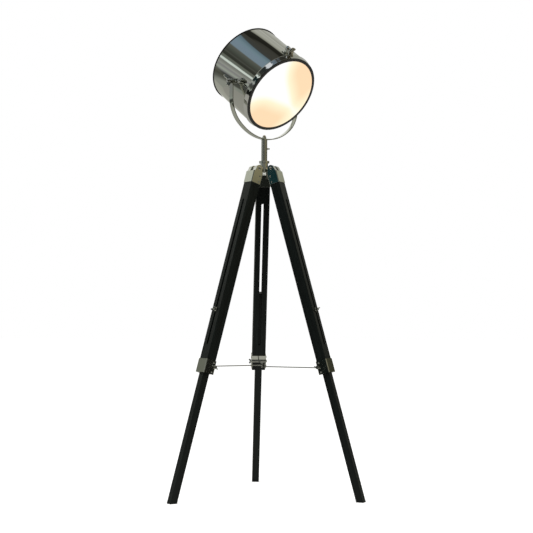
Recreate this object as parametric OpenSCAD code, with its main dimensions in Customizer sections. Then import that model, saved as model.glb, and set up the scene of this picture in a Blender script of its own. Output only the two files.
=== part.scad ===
// Tripod spotlight floor lamp.
// A drum-shaped head hangs in a U-shaped yoke that turns on a short pole. Three hinged legs
// carry the pole. Each leg is a slotted upper leg with a bar sliding in it, and three rods
// from the leg collars cross in a small boss under the pole and stop the legs spreading.
// Frame: +Z up, floor at z = 0, origin in the middle of the box round the three feet.

/* [Tripod] */
// Height of the leg hinge pins above the floor
hinge_h = 1055; // [950:5:1150]
// Distance of each hinge pin from the pole's axis
hinge_r = 34; // [33:0.5:40]
// Lean of the legs from upright, in degrees
leg_lean = 16.1; // [13:0.1:18]
// Turn of the tripod about the pole, in degrees
tripod_turn = 4.5; // [-30:0.5:30]

/* [Upper legs] */
// Depth of an upper leg, across the leg and outwards
upper_depth = 33; // [31:1:36]
// Width of an upper leg, round the tripod
upper_width = 45; // [43:1:50]
// Distance down the leg from the hinge pin to the upper leg's end
upper_end = 685; // [660:5:720]
// Width of the long slots in the outer and inner faces
slot_width = 9; // [8:0.5:11]
// Distance from the hinge pin to the slots' top
slot_top = 108; // [95:1:120]
// Solid length between the slots' lower end and the collars
slot_margin = 46; // [30:1:80]

/* [Lower legs] */
// Side of the square bar that slides in the upper leg
bar_side = 23; // [20:0.5:23.5]
// Running gap round the bar
bar_gap = 0.5; // [0.4:0.05:0.8]
// Distance from the hinge pin to the bar's top, as the lamp stands
bar_top = 414; // [380:2:450]
// Distance from the hinge pin to the lock screw, as the lamp stands
lock_drop = 480; // [460:2:500]
// Diameter of the lock screws' shanks
lock_d = 5; // [4:0.5:6]

/* [Leg sockets] */
// Wall of the metal socket round each upper leg's top
socket_wall = 1.5; // [1.2:0.1:2.5]
// Distance from the hinge pin down to the socket's floor
socket_floor = 12; // [11:0.5:15]
// Thickness of the socket's floor
socket_plate = 4; // [3:0.5:6]
// Length of the sleeve below the floor
socket_sleeve = 35; // [30:1:45]
// Radius of the rounded ears round the hinge pin
ear_r = 11; // [9:0.5:11.5]
// Width of the hub's tongues, between the ears
tongue_w = 15; // [12:0.5:18]
// Side gap between a tongue and each ear
tongue_gap = 0.3; // [0.2:0.05:0.6]
// Diameter of the hinge pins
pin_d = 6; // [5:0.5:7]

/* [Leg collars] */
// Wall of the metal collar round each upper leg's lower end
collar_wall = 2.5; // [2:0.1:3]
// Height of the collars
collar_h = 44; // [40:1:50]
// Height of the closed band at a collar's top, on its inner side
band_h = 13; // [10:0.5:15]
// How much higher up its leg each collar sits: back, left and right
collar_lift = [9, 0, 0];
// Diameter of the brace bolts
bolt_d = 5; // [4:0.5:6]
// Distance of the brace bolt below the collar's top
bolt_drop = 19; // [18:0.5:22]
// Distance of the brace bolt inwards from the leg's centre line
bolt_in = 17; // [16.5:0.25:18]

/* [Brace] */
// Diameter of the brace rods
rod_d = 3.2; // [2.5:0.1:3.4]
// Height between neighbouring rods where they cross
rod_pitch = 4.6; // [4.4:0.1:6]
// Diameter of the boss where the rods cross
boss_d = 9; // [8.5:0.5:14]
// Gap round each rod in the boss
rod_gap = 0.6; // [0.55:0.05:0.6]
// Diameter of the barrels on the brace bolts
barrel_d = 10; // [9:0.5:10]

/* [Pole] */
// Diameter of the pole
pole_d = 19.5; // [18:0.5:24]
// Height of the pole's top above the hinge pins
pole_top = 95.5; // [85:0.5:120]
// Diameter of the pole's bore
pole_bore = 12.4; // [11:0.1:14]
// Radial running gap of pins and shafts
running_gap = 0.05; // [0.03:0.01:0.08]
// Height of the pan lock screw above the hinge pins
pan_lock_h = 67.7; // [60:0.5:80]

/* [Yoke] */
// Distance from the drum's side to the middle of each yoke arm
arm_gap = 19.5; // [18:0.5:28]
// Gap between the drum's back edge and the yoke's bottom as the head tilts
swing_gap = 2.5; // [2:0.5:20]
// Thickness of the yoke's strap
strap_t = 3; // [2.5:0.5:5]
// Width of the yoke's strap
strap_w = 16; // [14:1:22]
// Radius of the yoke's two corners, to the middle of the strap
corner_r = 100; // [80:1:120]
// Angle of the bottom arc to each side, in degrees
bottom_half_angle = 40; // [35:1:50]
// Direction that the head faces, in degrees from +X
head_pan = -44.1; // [-180:0.1:180]
// Angle of the head's nose below level, in degrees
head_tilt = 37.3; // [0:0.1:60]

/* [Drum] */
// Radius of the drum
drum_r = 132; // [120:0.5:134]
// Thickness of the drum's sheet
drum_wall = 1.2; // [0.8:0.1:2]
// Length of the drum behind the pivot
drum_back = 121.3; // [110:0.5:130]
// Length of the head in front of the pivot
drum_front = 81.2; // [76:0.2:90]
// Height of the drum's axis over the pivot
axis_rise = 19.5; // [10:0.5:25]
// Radius of the rolled edge at the drum's back
back_bead = 2; // [1.5:0.1:3]

/* [Bezel and lens] */
// Length of the bezel ring
bezel_len = 22; // [18:0.5:28]
// How far the bezel's back edge stands out from the drum
bezel_stand = 3; // [2.5:0.1:4]
// How far the bezel's front edge lies inside the drum's radius
bezel_step = 0.6; // [0:0.1:2]
// Length of the drum inside the bezel
bezel_lap = 10; // [8:0.5:13]
// Width of the black rim's face
rim_w = 9.9; // [8:0.1:14]
// How far the lens crowns forward
lens_crown = 5; // [3:0.5:12]
// Thickness of the lens
lens_t = 4; // [3:0.5:6]
// Width of the black rim's front lip
lip_t = 3; // [2:0.5:4]
// Angle of the bezel's clamp round the head, in degrees
clamp_angle = 104; // [60:1:150]
// Distance of the clamp's screw outside the drum
clamp_out = 18; // [16:0.5:24]
// Gap between the clamp's two lugs
clamp_gap = 9.2; // [6:0.2:14]

/* [Lamp inside] */
// Diameter of the bulb's globe
bulb_d = 60; // [45:1:95]
// Diameter of the lamp holder
holder_d = 38; // [36:1:50]
// Length of the lamp holder
holder_len = 52; // [45:1:70]
// Distance from the lamp holder's front to the middle of the bulb's globe
bulb_reach = 52; // [45:1:70]
// Diameter of the cable entry's bore
cable_bore = 7.2; // [6:0.1:10]

/* [Hidden] */
$fn = 96;

// Overshoot of cutting tools past the faces they cut
over = 1;
// Gap between faces that meet without pressing, such as a washer and its seat
face_gap = 0.3;
// Gap behind a wing nut or a thumb screw's collar
nut_gap = 0.4;
// Legs by number, and their azimuth before the tripod is turned
BACK = 0;
LEFT = 1;
RIGHT = 2;
leg_azimuth = [90, 210, 330];
// Side on which each brace bolt carries its wing nut
nut_side = [1, 1, -1];

// Upper legs, measured down from the hinge pin along the centre line
leg_corner_r = 1.5;
upper_start = socket_floor + socket_plate;
slot_end = upper_end - collar_h - slot_margin;
cavity_side = bar_side + 2 * bar_gap;
cavity_top = bar_top - (lock_drop - slot_top);

// Lower legs and the wing screws that lock them
leg_len = hinge_h / cos(leg_lean);
foot_r = hinge_r + hinge_h * tan(leg_lean);
lock_depth = 15;
lock_collar_d = 14;
lock_collar_t = 1.5;
lock_wing_span = 21;
lock_wing_h = 13;

// Sockets and collars: outside sizes, rounding and the small screws on their sides
fitting_corner_r = 3;
socket_x = upper_depth + 2 * socket_wall;
socket_y = upper_width + 2 * socket_wall;
ear_gap = tongue_w + 2 * tongue_gap;
collar_x = upper_depth + 2 * collar_wall;
collar_y = upper_width + 2 * collar_wall;
lug_r = bolt_d / 2 + 3.5;
leg_screw_d = 6;
leg_screw_h = 2;
leg_screw_x = -9;
leg_screw_edge = 7;
socket_screw_z = [upper_start + 9, upper_start + socket_sleeve - leg_screw_edge];
collar_screw_z = [leg_screw_edge, collar_h - leg_screw_edge];

// The foot's corners on the floor give the middle of the footprint's box
function azimuth(k) = leg_azimuth[k] + tripod_turn;
function foot_corner(k, i, j) =
    let (r = foot_r + i * bar_side / 2 / cos(leg_lean), t = j * bar_side / 2, a = azimuth(k))
    [r * cos(a) - t * sin(a), r * sin(a) + t * cos(a)];
foot_corners = [for (k = [BACK:RIGHT], i = [-1, 1], j = [-1, 1]) foot_corner(k, i, j)];
foot_x = [for (c = foot_corners) c[0]];
foot_y = [for (c = foot_corners) c[1]];
base_x = (min(foot_x) + max(foot_x)) / 2;
base_y = (min(foot_y) + max(foot_y)) / 2;

// Brace: a collar's top and its bolt, and the level of each rod where they cross
function collar_top(k) = upper_end - collar_h - collar_lift[k];
function bolt_z(k) =
    hinge_h - (collar_top(k) + bolt_drop) * cos(leg_lean) - bolt_in * sin(leg_lean);
function bolt_r(k) =
    hinge_r + (collar_top(k) + bolt_drop) * sin(leg_lean) - bolt_in * cos(leg_lean);
brace_level = bolt_z(LEFT);
rod_level = [brace_level + 1.5 * rod_pitch, brace_level + 0.5 * rod_pitch,
             brace_level - 0.5 * rod_pitch];
notch_in = bolt_in - barrel_d / 2 - 1;
bolt_past_collar = 7;
bolt_dome_h = 3;
barrel_len = upper_width - 0.8;
boss_wall = 2.5;
boss_low = rod_level[RIGHT] - rod_d / 2 - boss_wall;
boss_high = rod_level[BACK] + rod_d / 2 + boss_wall;
stop_d = rod_d + 2.4;
stop_t = 3;

// Hub: a lower flange, a neck that holds the pole and an upper flange
hub_foot = -9.4;
hub_flange_h = 10.8;
hub_flange_d = 31;
hub_neck_d = 25;
hub_collar_h = 6.6;
hub_collar_d = 34;
hub_top = 27;
pole_seat = 6;
tongue_r = 8;
pin_head_h = 2.5;
pan_lock_d = 4;
pan_lock_head_d = 6.5;
pan_lock_head_t = 1.8;

// Drum, its rear cover and the cable gland
slip_gap = 0.3;
cover_r = drum_r - drum_wall - slip_gap;
cover_x = -drum_back + 2 * back_bead;
cover_t = 1.5;
cover_skirt = 12;
cover_rim_w = 34.5;
dish_r = cover_r - cover_rim_w;
dish_depth = 10;
vent_count = 12;
vent_in = 18;
vent_r = dish_r - vent_in;
vent_len = 22;
vent_w = 5;
gland_thread_d = 12;
gland_hex_af = 17;
gland_hex_h = 5;
gland_d = 13;
gland_back = 12;

// Lamp holder on its plate, and the bulb's cap and neck
holder_plate_t = 2;
holder_screw_r = 26;
holder_screw_d = 4;
holder_cup_h = 16;
holder_back = cover_x + dish_depth + cover_t + holder_plate_t;
cap_d = 26;
cap_len = 24;
bulb_neck_d = 28;
bulb_centre = holder_back + holder_len + bulb_reach;

// Bezel: it slips over the drum's front edge, and its taper starts where the drum ends
bezel_back_x = drum_front - bezel_len;
drum_front_x = bezel_back_x + bezel_lap;
bezel_in_r = drum_r + slip_gap;
bezel_back_r = drum_r + bezel_stand;
bezel_front_r = drum_r - bezel_step;
bezel_band = 2;
bezel_shelf_t = 1;
bezel_wall = 2.6;
rim_out_r = bezel_front_r - bezel_wall;
rim_in_r = bezel_front_r - rim_w;
rim_bevel = 0.6;
rim_skirt = 5;

// Lens: the radii of its crown and flange follow from the rim
lens_gap = 0.3;
lens_r = rim_in_r - lens_gap;
lens_flange_w = 3.3;
lens_flange_r = lens_r + lens_flange_w;
lens_flange_t = 3.5;
lens_flange_x = drum_front - lip_t - lens_gap;
lens_land = 5;
lens_curve = (lens_r * lens_r + lens_crown * lens_crown) / 2 / lens_crown;

// Clamp between the drum's lug and the bezel's lug
clamp_r = drum_r + clamp_out;
clamp_lug_t = 8;
clamp_lug_w = 16;
clamp_pad = 12;
clamp_pad_t = 2.5;
clamp_root = 3;
clamp_screw_d = 6;
bezel_lug_t = 5;
bezel_lug_x = bezel_back_x + bezel_band;
clamp_lug_x = bezel_lug_x - clamp_gap - clamp_lug_t;

// Yoke, from its pivot: its drop clears the drum's swing, and its arcs follow from its width
swing_r = norm([drum_back - back_bead, drum_r - axis_rise]) + back_bead;
yoke_drop = swing_r + swing_gap + strap_t / 2;
yoke_half = drum_r + arm_gap;
bottom_r = corner_r + (yoke_half - corner_r) / sin(bottom_half_angle);
bottom_z = bottom_r - yoke_drop;
corner_y = (bottom_r - corner_r) * sin(bottom_half_angle);
corner_z = bottom_z - (bottom_r - corner_r) * cos(bottom_half_angle);
bend_steps = 16;

// Spigot under the yoke, and the domed nut on its stud
spigot_flange_t = 2.5;
pivot_rise = yoke_drop + strap_t / 2 + spigot_flange_t;
pivot_h = hinge_h + pole_top + pivot_rise;
spigot_d = pole_bore - 2 * running_gap;
spigot_len = 52;
stud_d = 8;
acorn_af = 12;
acorn_hex_h = 6;
acorn_dome_r = 5.5;

// Side brackets and the bolts, washers and wing nuts of the pivot
pivot_bolt_d = 6;
bolt_head_h = 4;
bolt_head_af = 10;
bolt_past_strap = 17;
washer_t = 1.5;
washer_d = 15;
washer_gap = 0.15;
bracket_t = 4;
bracket_out = yoke_half - strap_t / 2 - washer_t;
bracket_w = 14;
bracket_foot_x = 26.2;
bracket_foot_z = axis_rise - 2;
bracket_foot_d = 22;
bracket_foot_t = 2.5;
bracket_root = 13.2;
bracket_screw_d = 6;
bracket_screw_h = 2;
wing_nut_in = yoke_half + strap_t / 2 + washer_t + nut_gap;
wing_nut_d = 14;
wing_nut_h = 12;
wing_nut_span = 42;
wing_nut_reach = 24;
wing_nut_t = 3;

chrome = [0.78, 0.79, 0.78];
steel = [0.62, 0.62, 0.6];
black = [0.07, 0.08, 0.08];
glow = [1, 0.93, 0.8];

// ---------------------------------------------------------------- frames

// The lamp's own frame, with the pole's axis at x = y = 0, put on the origin
module on_base() translate([-base_x, -base_y, 0]) children();

// A leg's frame: origin on the hinge pin, x outwards, y round the tripod, z up the leg
module on_leg(k)
    on_base() rotate([0, 0, azimuth(k)]) translate([hinge_r, 0, hinge_h])
        rotate([0, -leg_lean, 0]) children();

// A brace rod's frame: origin on its bolt at the rod's level, x outwards
module on_rod(k)
    on_base() rotate([0, 0, azimuth(k)]) translate([bolt_r(k), 0, rod_level[k]]) children();

// The yoke's frame: origin on the pivot, x forwards and level, y along the pivot
module on_yoke() on_base() translate([0, 0, pivot_h]) rotate([0, 0, head_pan]) children();

// The head's frame: origin on the pivot, x out of the lens
module on_head() on_yoke() rotate([0, head_tilt, 0]) children();

// The drum's frame: as the head's, but with z along the drum's axis
module on_drum() on_head() translate([0, 0, axis_rise]) rotate([0, 90, 0]) children();

// A place on the drum's outside: x forwards, y outwards from the drum's axis
module at_rim(angle)
    on_head() translate([0, 0, axis_rise]) rotate([angle, 0, 0]) children();

// Turns z onto +y or -y
module along_y(side) rotate([side > 0 ? -90 : 90, 0, 0]) children();

// ---------------------------------------------------------------- repeated shapes

// A rectangle centred on the origin with rounded corners
module rounded_rect(x, y, r) {
    square([x - 2 * r, y], center = true);
    square([x, y - 2 * r], center = true);
    for (i = [-1, 1], j = [-1, 1])
        translate([i * (x / 2 - r), j * (y / 2 - r)]) circle(r);
}

// A ring or tube standing on z = 0
module tube(d, bore, h)
    difference() {
        cylinder(h = h, d = d);
        translate([0, 0, -over]) cylinder(h = h + 2 * over, d = bore);
    }

// A domed screw head on z = 0
module dome_head(d, h)
    intersection() {
        translate([0, 0, h - sphere_r(d, h)]) sphere(sphere_r(d, h));
        cylinder(h = h, d = d);
    }
function sphere_r(d, h) = (d * d / 4 + h * h) / 2 / h;

// Two wings on a hub, standing on z = 0, with the wings along y
module wings(hub_d, hub_h, span, height, t, tip_r) {
    cylinder(h = hub_h, d = hub_d);
    for (s = [-1, 1]) mirrored_y(s)
        rotate([90, 0, 90]) translate([0, 0, -t / 2]) linear_extrude(t) {
            translate([span / 2 - tip_r, height - tip_r]) circle(tip_r);
            polygon([[hub_d / 4, hub_h * 0.15], [hub_d / 2 + 1, hub_h * 0.15],
                     [span / 2 - tip_r * 0.4, height - tip_r * 1.75],
                     [span / 2 - tip_r * 1.6, height - tip_r * 0.35],
                     [hub_d / 4, hub_h * 0.95]]);
        }
}
module mirrored_y(s) mirror([0, s < 0 ? 1 : 0, 0]) children();

// A wing nut standing on z = 0
module wing_nut(bore, hub_d, hub_h, span, height, t, tip_r)
    difference() {
        wings(hub_d, hub_h, span, height, t, tip_r);
        translate([0, 0, -over]) cylinder(h = height + 2 * over, d = bore);
    }

// ---------------------------------------------------------------- hub and pole

// Cast hub: flanges, neck and three tongues for the leg hinges
module hub_casting() color(chrome)
    on_base() translate([0, 0, hinge_h]) difference() {
        union() {
            translate([0, 0, hub_foot]) cylinder(h = hub_flange_h, d = hub_flange_d);
            translate([0, 0, hub_foot]) cylinder(h = hub_top - hub_foot, d = hub_neck_d);
            translate([0, 0, hub_top - hub_collar_h]) cylinder(h = hub_collar_h, d = hub_collar_d);
            for (k = [BACK:RIGHT]) rotate([0, 0, azimuth(k)]) {
                translate([0, -tongue_w / 2, -tongue_r]) cube([hinge_r, tongue_w, 2 * tongue_r]);
                translate([hinge_r, tongue_w / 2, 0]) rotate([90, 0, 0])
                    cylinder(h = tongue_w, r = tongue_r);
            }
        }
        translate([0, 0, pole_seat]) cylinder(h = hub_top, d = pole_d);
        for (k = [BACK:RIGHT]) rotate([0, 0, azimuth(k)])
            translate([hinge_r, hub_collar_d, 0]) rotate([90, 0, 0])
                cylinder(h = 2 * hub_collar_d, d = pin_d);
    }

// Hinge pins through the tongues, with a dome on one end and a flat on the other
module hinge_pins() color(steel)
    for (k = [BACK:RIGHT]) on_leg(k) {
        half = socket_y / 2 + face_gap;
        translate([0, half, 0]) rotate([90, 0, 0]) cylinder(h = 2 * half, d = pin_d);
        translate([0, half, 0]) along_y(1) dome_head(pin_d + 4, pin_head_h);
        translate([0, -half, 0]) along_y(-1) dome_head(pin_d + 4, pin_head_h);
    }

// Short pole, bored for the yoke's spigot and drilled for the pan lock screw
module pole_tube() color(steel)
    on_base() translate([0, 0, hinge_h]) difference() {
        translate([0, 0, pole_seat]) cylinder(h = pole_top - pole_seat, d = pole_d);
        translate([0, 0, pole_seat - over]) cylinder(h = pole_top, d = pole_bore);
        translate([0, 0, pan_lock_h]) rotate([0, 90, 0]) cylinder(h = pole_d, d = pan_lock_d);
    }

// Thumb screw that locks the yoke's turn
module pan_lock_screw() color(steel)
    on_base() translate([0, 0, hinge_h + pan_lock_h]) rotate([0, 90, 0]) {
        translate([0, 0, pole_bore / 2 + face_gap])
            cylinder(h = pole_d / 2 - pole_bore / 2 + 1, d = pan_lock_d - 2 * running_gap);
        translate([0, 0, pole_d / 2 + nut_gap])
            cylinder(h = pan_lock_head_t, d = pan_lock_head_d);
        translate([0, 0, pole_d / 2 + nut_gap + pan_lock_head_t - 0.3]) rotate([0, 0, 35])
            translate([-1, -3.4, 0]) cube([2, 6.8, 6]);
    }

// ---------------------------------------------------------------- yoke

// Points along one edge of the strap, from the left pivot down round and up to the right one
function bend(y, z, r, from, to) =
    [for (i = [0:bend_steps]) let (a = from + (to - from) * i / bend_steps)
        [y + r * cos(a), z + r * sin(a)]];
function inner_part(list) = [for (i = [1:len(list) - 2]) list[i]];
function strap_edge(d) = concat(
    [[-yoke_half - d, 0]],
    bend(-corner_y, corner_z, corner_r + d, 180, 270 - bottom_half_angle),
    inner_part(bend(0, bottom_z, bottom_r + d, 270 - bottom_half_angle, 270 + bottom_half_angle)),
    bend(corner_y, corner_z, corner_r + d, 270 + bottom_half_angle, 360),
    [[yoke_half + d, 0]]);

// U-shaped strap: a wide bottom arc, two corner arcs and two straight arms with round ends
module yoke() color(chrome) {
    outer = strap_edge(strap_t / 2);
    inner = strap_edge(-strap_t / 2);
    on_yoke() difference() {
        union() {
            rotate([90, 0, 90]) translate([0, 0, -strap_w / 2]) linear_extrude(strap_w)
                polygon(concat(outer, [for (i = [len(inner) - 1:-1:0]) inner[i]]));
            for (s = [-1, 1]) translate([0, s * yoke_half, 0])
                rotate([90, 0, 0]) cylinder(h = strap_t, d = strap_w, center = true);
        }
        translate([0, 2 * yoke_half, 0]) rotate([90, 0, 0])
            cylinder(h = 4 * yoke_half, d = pivot_bolt_d + 2 * running_gap);
        translate([0, 0, -yoke_drop - strap_t]) cylinder(h = 2 * strap_t, d = stud_d);
    }
}

// Spigot that turns in the pole, with a flange under the yoke and a stud through it
module yoke_spigot() color(steel)
    on_yoke() translate([0, 0, -pivot_rise]) {
        translate([0, 0, -spigot_len]) cylinder(h = spigot_len, d = spigot_d);
        cylinder(h = spigot_flange_t, d = pole_d);
        cylinder(h = spigot_flange_t + strap_t + acorn_hex_h, d = stud_d);
    }

// Domed nut on the yoke
module acorn_nut() color(chrome)
    on_yoke() translate([0, 0, -pivot_rise + spigot_flange_t + strap_t + face_gap]) difference() {
        union() {
            cylinder(h = acorn_hex_h, d = acorn_af / cos(30), $fn = 6);
            translate([0, 0, acorn_hex_h - 1]) intersection() {
                translate([0, 0, 1]) sphere(acorn_dome_r + 0.1);
                cylinder(h = 2 * acorn_dome_r, r = acorn_dome_r);
            }
        }
        translate([0, 0, -over]) cylinder(h = acorn_hex_h + over, d = stud_d);
    }

// ---------------------------------------------------------------- pivot and side brackets

// Head bolts of the pivot, from inside the brackets to past the wing nuts
module pivot_bolts() color(steel)
    on_head() for (s = [-1, 1]) translate([0, s * (bracket_out - bracket_t), 0]) along_y(s) {
        translate([0, 0, -bolt_head_h]) cylinder(h = bolt_head_h, d = bolt_head_af / cos(30), $fn = 6);
        cylinder(h = bracket_t + 2 * washer_t + strap_t + bolt_past_strap, d = pivot_bolt_d);
    }

// Washers on both faces of each yoke arm
module pivot_washers() color(steel)
    on_yoke() for (s = [-1, 1]) translate([0, s * bracket_out, 0]) along_y(s) {
        translate([0, 0, washer_gap])
            tube(washer_d, pivot_bolt_d + 0.4, washer_t - washer_gap);
        translate([0, 0, washer_t + strap_t]) tube(washer_d, pivot_bolt_d + 0.4, washer_t);
    }

// Large wing nut on the head's pivot
module pivot_wing_nut(s) color(chrome)
    on_head() translate([0, s * wing_nut_in, 0]) along_y(s) rotate([0, 0, s > 0 ? 60 : -30])
        wing_nut(pivot_bolt_d + 2 * running_gap, wing_nut_d, wing_nut_h, wing_nut_span,
                 wing_nut_reach, wing_nut_t, 6);
module pivot_wing_nut_left() pivot_wing_nut(-1);
module pivot_wing_nut_right() pivot_wing_nut(1);

// Bracket on each side of the drum: a link from the pivot to a post with a shaped foot
module side_brackets() color(chrome)
    on_head() for (s = [-1, 1]) difference() {
        union() {
            translate([0, s * (bracket_out - bracket_t), 0]) along_y(s) {
                cylinder(h = bracket_t, d = bracket_w);
                translate([bracket_foot_x, -s * bracket_foot_z, 0])
                    cylinder(h = bracket_t, d = bracket_w);
                rotate([0, 0, -s * atan2(bracket_foot_z, bracket_foot_x)])
                    translate([0, -bracket_w / 2, 0])
                        cube([norm([bracket_foot_x, bracket_foot_z]), bracket_w, bracket_t]);
            }
            translate([bracket_foot_x, s * (drum_r - bracket_root), bracket_foot_z]) along_y(s) {
                cylinder(h = bracket_out - bracket_t / 2 - drum_r + bracket_root,
                         d = bracket_w - 2);
                cylinder(h = bracket_root + bracket_foot_t, d = bracket_foot_d);
            }
        }
        translate([-drum_back, 0, axis_rise]) rotate([0, 90, 0])
            cylinder(h = 2 * drum_back, r = drum_r, $fn = 180);
        translate([0, s * (bracket_out + over), 0]) along_y(-s)
            cylinder(h = bracket_t + 2 * over, d = pivot_bolt_d);
    }

// Small domed screws on the bracket's link
module bracket_screws() color(steel)
    on_head() for (s = [-1, 1], at = [0.5, 1])
        translate([bracket_foot_x * at, s * bracket_out, bracket_foot_z * at]) along_y(s)
            dome_head(bracket_screw_d, bracket_screw_h);

// ---------------------------------------------------------------- drum

// Rolled sheet drum, open at both ends
module drum_shell() color(chrome)
    on_drum() translate([0, 0, -drum_back + back_bead]) difference() {
        cylinder(h = drum_front_x + drum_back - back_bead, r = drum_r, $fn = 180);
        translate([0, 0, -over])
            cylinder(h = drum_front_x + drum_back + over, r = drum_r - drum_wall, $fn = 180);
    }

// Black rolled edge round the drum's back
module back_bead_ring() color(black)
    on_drum() translate([0, 0, -drum_back]) rotate_extrude($fn = 180)
        translate([drum_r, back_bead]) difference() {
            circle(back_bead, $fn = 32);
            translate([-drum_wall, 0]) square([drum_wall, 2 * back_bead]);
        }

// Pressed rear cover with a dished middle, ring of vent slots and a flange inside the drum
module rear_cover() color(black)
    on_drum() translate([0, 0, cover_x]) difference() {
        union() {
            cylinder(h = cover_t, r = cover_r, $fn = 180);
            tube(2 * cover_r, 2 * (cover_r - cover_t), cover_skirt, $fn = 180);
            cylinder(h = dish_depth + cover_t, r = dish_r + cover_t);
        }
        translate([0, 0, -over]) cylinder(h = dish_depth + over, r = dish_r);
        for (i = [0:vent_count - 1]) rotate([0, 0, i * 360 / vent_count]) {
            translate([vent_r - vent_len / 2, -vent_w / 2, dish_depth - over])
                cube([vent_len, vent_w, cover_t + 2 * over]);
            for (e = [-1, 1]) translate([vent_r + e * vent_len / 2, 0, dish_depth - over])
                cylinder(h = cover_t + 2 * over, d = vent_w);
        }
        translate([0, 0, dish_depth - over])
            cylinder(h = cover_t + 2 * over, d = gland_thread_d);
        for (i = [0:3]) rotate([0, 0, 45 + i * 90]) translate([holder_screw_r, 0, -over])
            cylinder(h = dish_depth + cover_t + 2 * over, d = holder_screw_d);
    }

// Screws that hold the lamp holder's bracket to the rear cover
module rear_cover_screws() color(steel)
    on_drum() translate([0, 0, cover_x + dish_depth]) for (i = [0:3])
        rotate([0, 0, 45 + i * 90]) translate([holder_screw_r, 0, 0]) {
            mirror([0, 0, 1]) dome_head(7, 2.5);
            cylinder(h = cover_t + holder_plate_t + 2, d = holder_screw_d);
        }

// Cable gland at the middle of the rear cover, open for a cable
module cable_gland() color(black)
    on_drum() translate([0, 0, cover_x + dish_depth]) difference() {
        union() {
            translate([0, 0, -gland_hex_h])
                cylinder(h = gland_hex_h, d = gland_hex_af / cos(30), $fn = 6);
            translate([0, 0, -gland_back]) cylinder(h = gland_back, d = gland_d);
            cylinder(h = cover_t + holder_plate_t, d = gland_thread_d);
        }
        translate([0, 0, -gland_back - over])
            cylinder(h = gland_back + cover_t + holder_plate_t + 2 * over, d = cable_bore);
    }

// Plate and cup that carry the lamp holder inside the rear cover
module lamp_holder_bracket() color(steel)
    on_drum() translate([0, 0, cover_x + dish_depth + cover_t]) difference() {
        union() {
            cylinder(h = holder_plate_t, d = 2 * holder_screw_r + 14);
            cylinder(h = holder_cup_h, d = holder_d + 5);
        }
        translate([0, 0, holder_plate_t]) cylinder(h = holder_cup_h, d = holder_d);
        translate([0, 0, -over]) cylinder(h = holder_plate_t + 2 * over, d = gland_thread_d);
        for (i = [0:3]) rotate([0, 0, 45 + i * 90]) translate([holder_screw_r, 0, -over])
            cylinder(h = holder_plate_t + 2 * over, d = holder_screw_d);
    }

// Screw-shell lamp holder with a skirt ring
module lamp_holder() color("white")
    on_drum() translate([0, 0, holder_back]) difference() {
        union() {
            cylinder(h = holder_len, d = holder_d);
            translate([0, 0, holder_len - 14]) cylinder(h = 5, d = holder_d + 6);
        }
        translate([0, 0, holder_len - cap_len]) cylinder(h = holder_len, d = cap_d + 0.8);
    }

// Bulb: screw cap, neck and globe
module bulb() color(glow)
    on_drum() {
        translate([0, 0, holder_back + holder_len - cap_len + face_gap])
            cylinder(h = cap_len, d = cap_d);
        translate([0, 0, bulb_centre]) sphere(d = bulb_d);
        translate([0, 0, holder_back + holder_len]) cylinder(
            h = bulb_reach - bulb_d / 2 + 4, d1 = bulb_neck_d, d2 = bulb_d * 0.62);
        translate([0, 0, holder_back + holder_len - 1]) cylinder(h = 4, d = cap_d);
    }

// ---------------------------------------------------------------- bezel

// Lug on the drum for the bezel's clamp screw
module clamp_lug() color(chrome)
    difference() {
        at_rim(clamp_angle) union() {
            translate([clamp_lug_x, drum_r - clamp_root, -clamp_lug_w / 2])
                cube([clamp_lug_t, clamp_out + clamp_root, clamp_lug_w]);
            translate([clamp_lug_x, clamp_r, 0]) rotate([0, 90, 0])
                cylinder(h = clamp_lug_t, d = clamp_lug_w);
            translate([clamp_lug_x - clamp_pad, drum_r - clamp_root, -clamp_lug_w / 2])
                cube([clamp_pad + clamp_lug_t, clamp_root + clamp_pad_t, clamp_lug_w]);
        }
        at_rim(clamp_angle) translate([clamp_lug_x - clamp_pad - over, 0, 0])
            rotate([0, 90, 0])
                cylinder(h = clamp_pad + clamp_lug_t + 2 * over, r = drum_r, $fn = 180);
        at_rim(clamp_angle) translate([clamp_lug_x - over, clamp_r, 0]) rotate([0, 90, 0])
            cylinder(h = clamp_lug_t + 2 * over, d = clamp_screw_d);
    }

// Bezel ring: a straight band over the drum's edge, then a taper to the front
module bezel_ring() color(chrome)
    on_drum() rotate_extrude($fn = 180) polygon([
        [bezel_in_r, bezel_back_x], [bezel_back_r, bezel_back_x],
        [bezel_back_r, bezel_back_x + bezel_band], [bezel_front_r, drum_front - lip_t],
        [rim_out_r, drum_front - lip_t], [rim_out_r, drum_front_x + bezel_shelf_t],
        [bezel_in_r, drum_front_x + bezel_shelf_t]]);

// Ear on the bezel that carries the clamp screw
module bezel_lug() color(chrome)
    at_rim(clamp_angle) difference() {
        union() {
            translate([bezel_lug_x, bezel_back_r - clamp_root, -clamp_lug_w / 2])
                cube([bezel_lug_t, clamp_r - bezel_back_r + clamp_root, clamp_lug_w]);
            translate([bezel_lug_x, clamp_r, 0]) rotate([0, 90, 0])
                cylinder(h = bezel_lug_t, d = clamp_lug_w);
        }
        translate([bezel_lug_x - over, 0, 0]) rotate([0, 90, 0])
            cylinder(h = bezel_lug_t + 2 * over, r = bezel_back_r, $fn = 180);
        translate([bezel_lug_x - over, clamp_r, 0]) rotate([0, 90, 0])
            cylinder(h = bezel_lug_t + 2 * over, d = clamp_screw_d + 2 * running_gap);
    }

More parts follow.
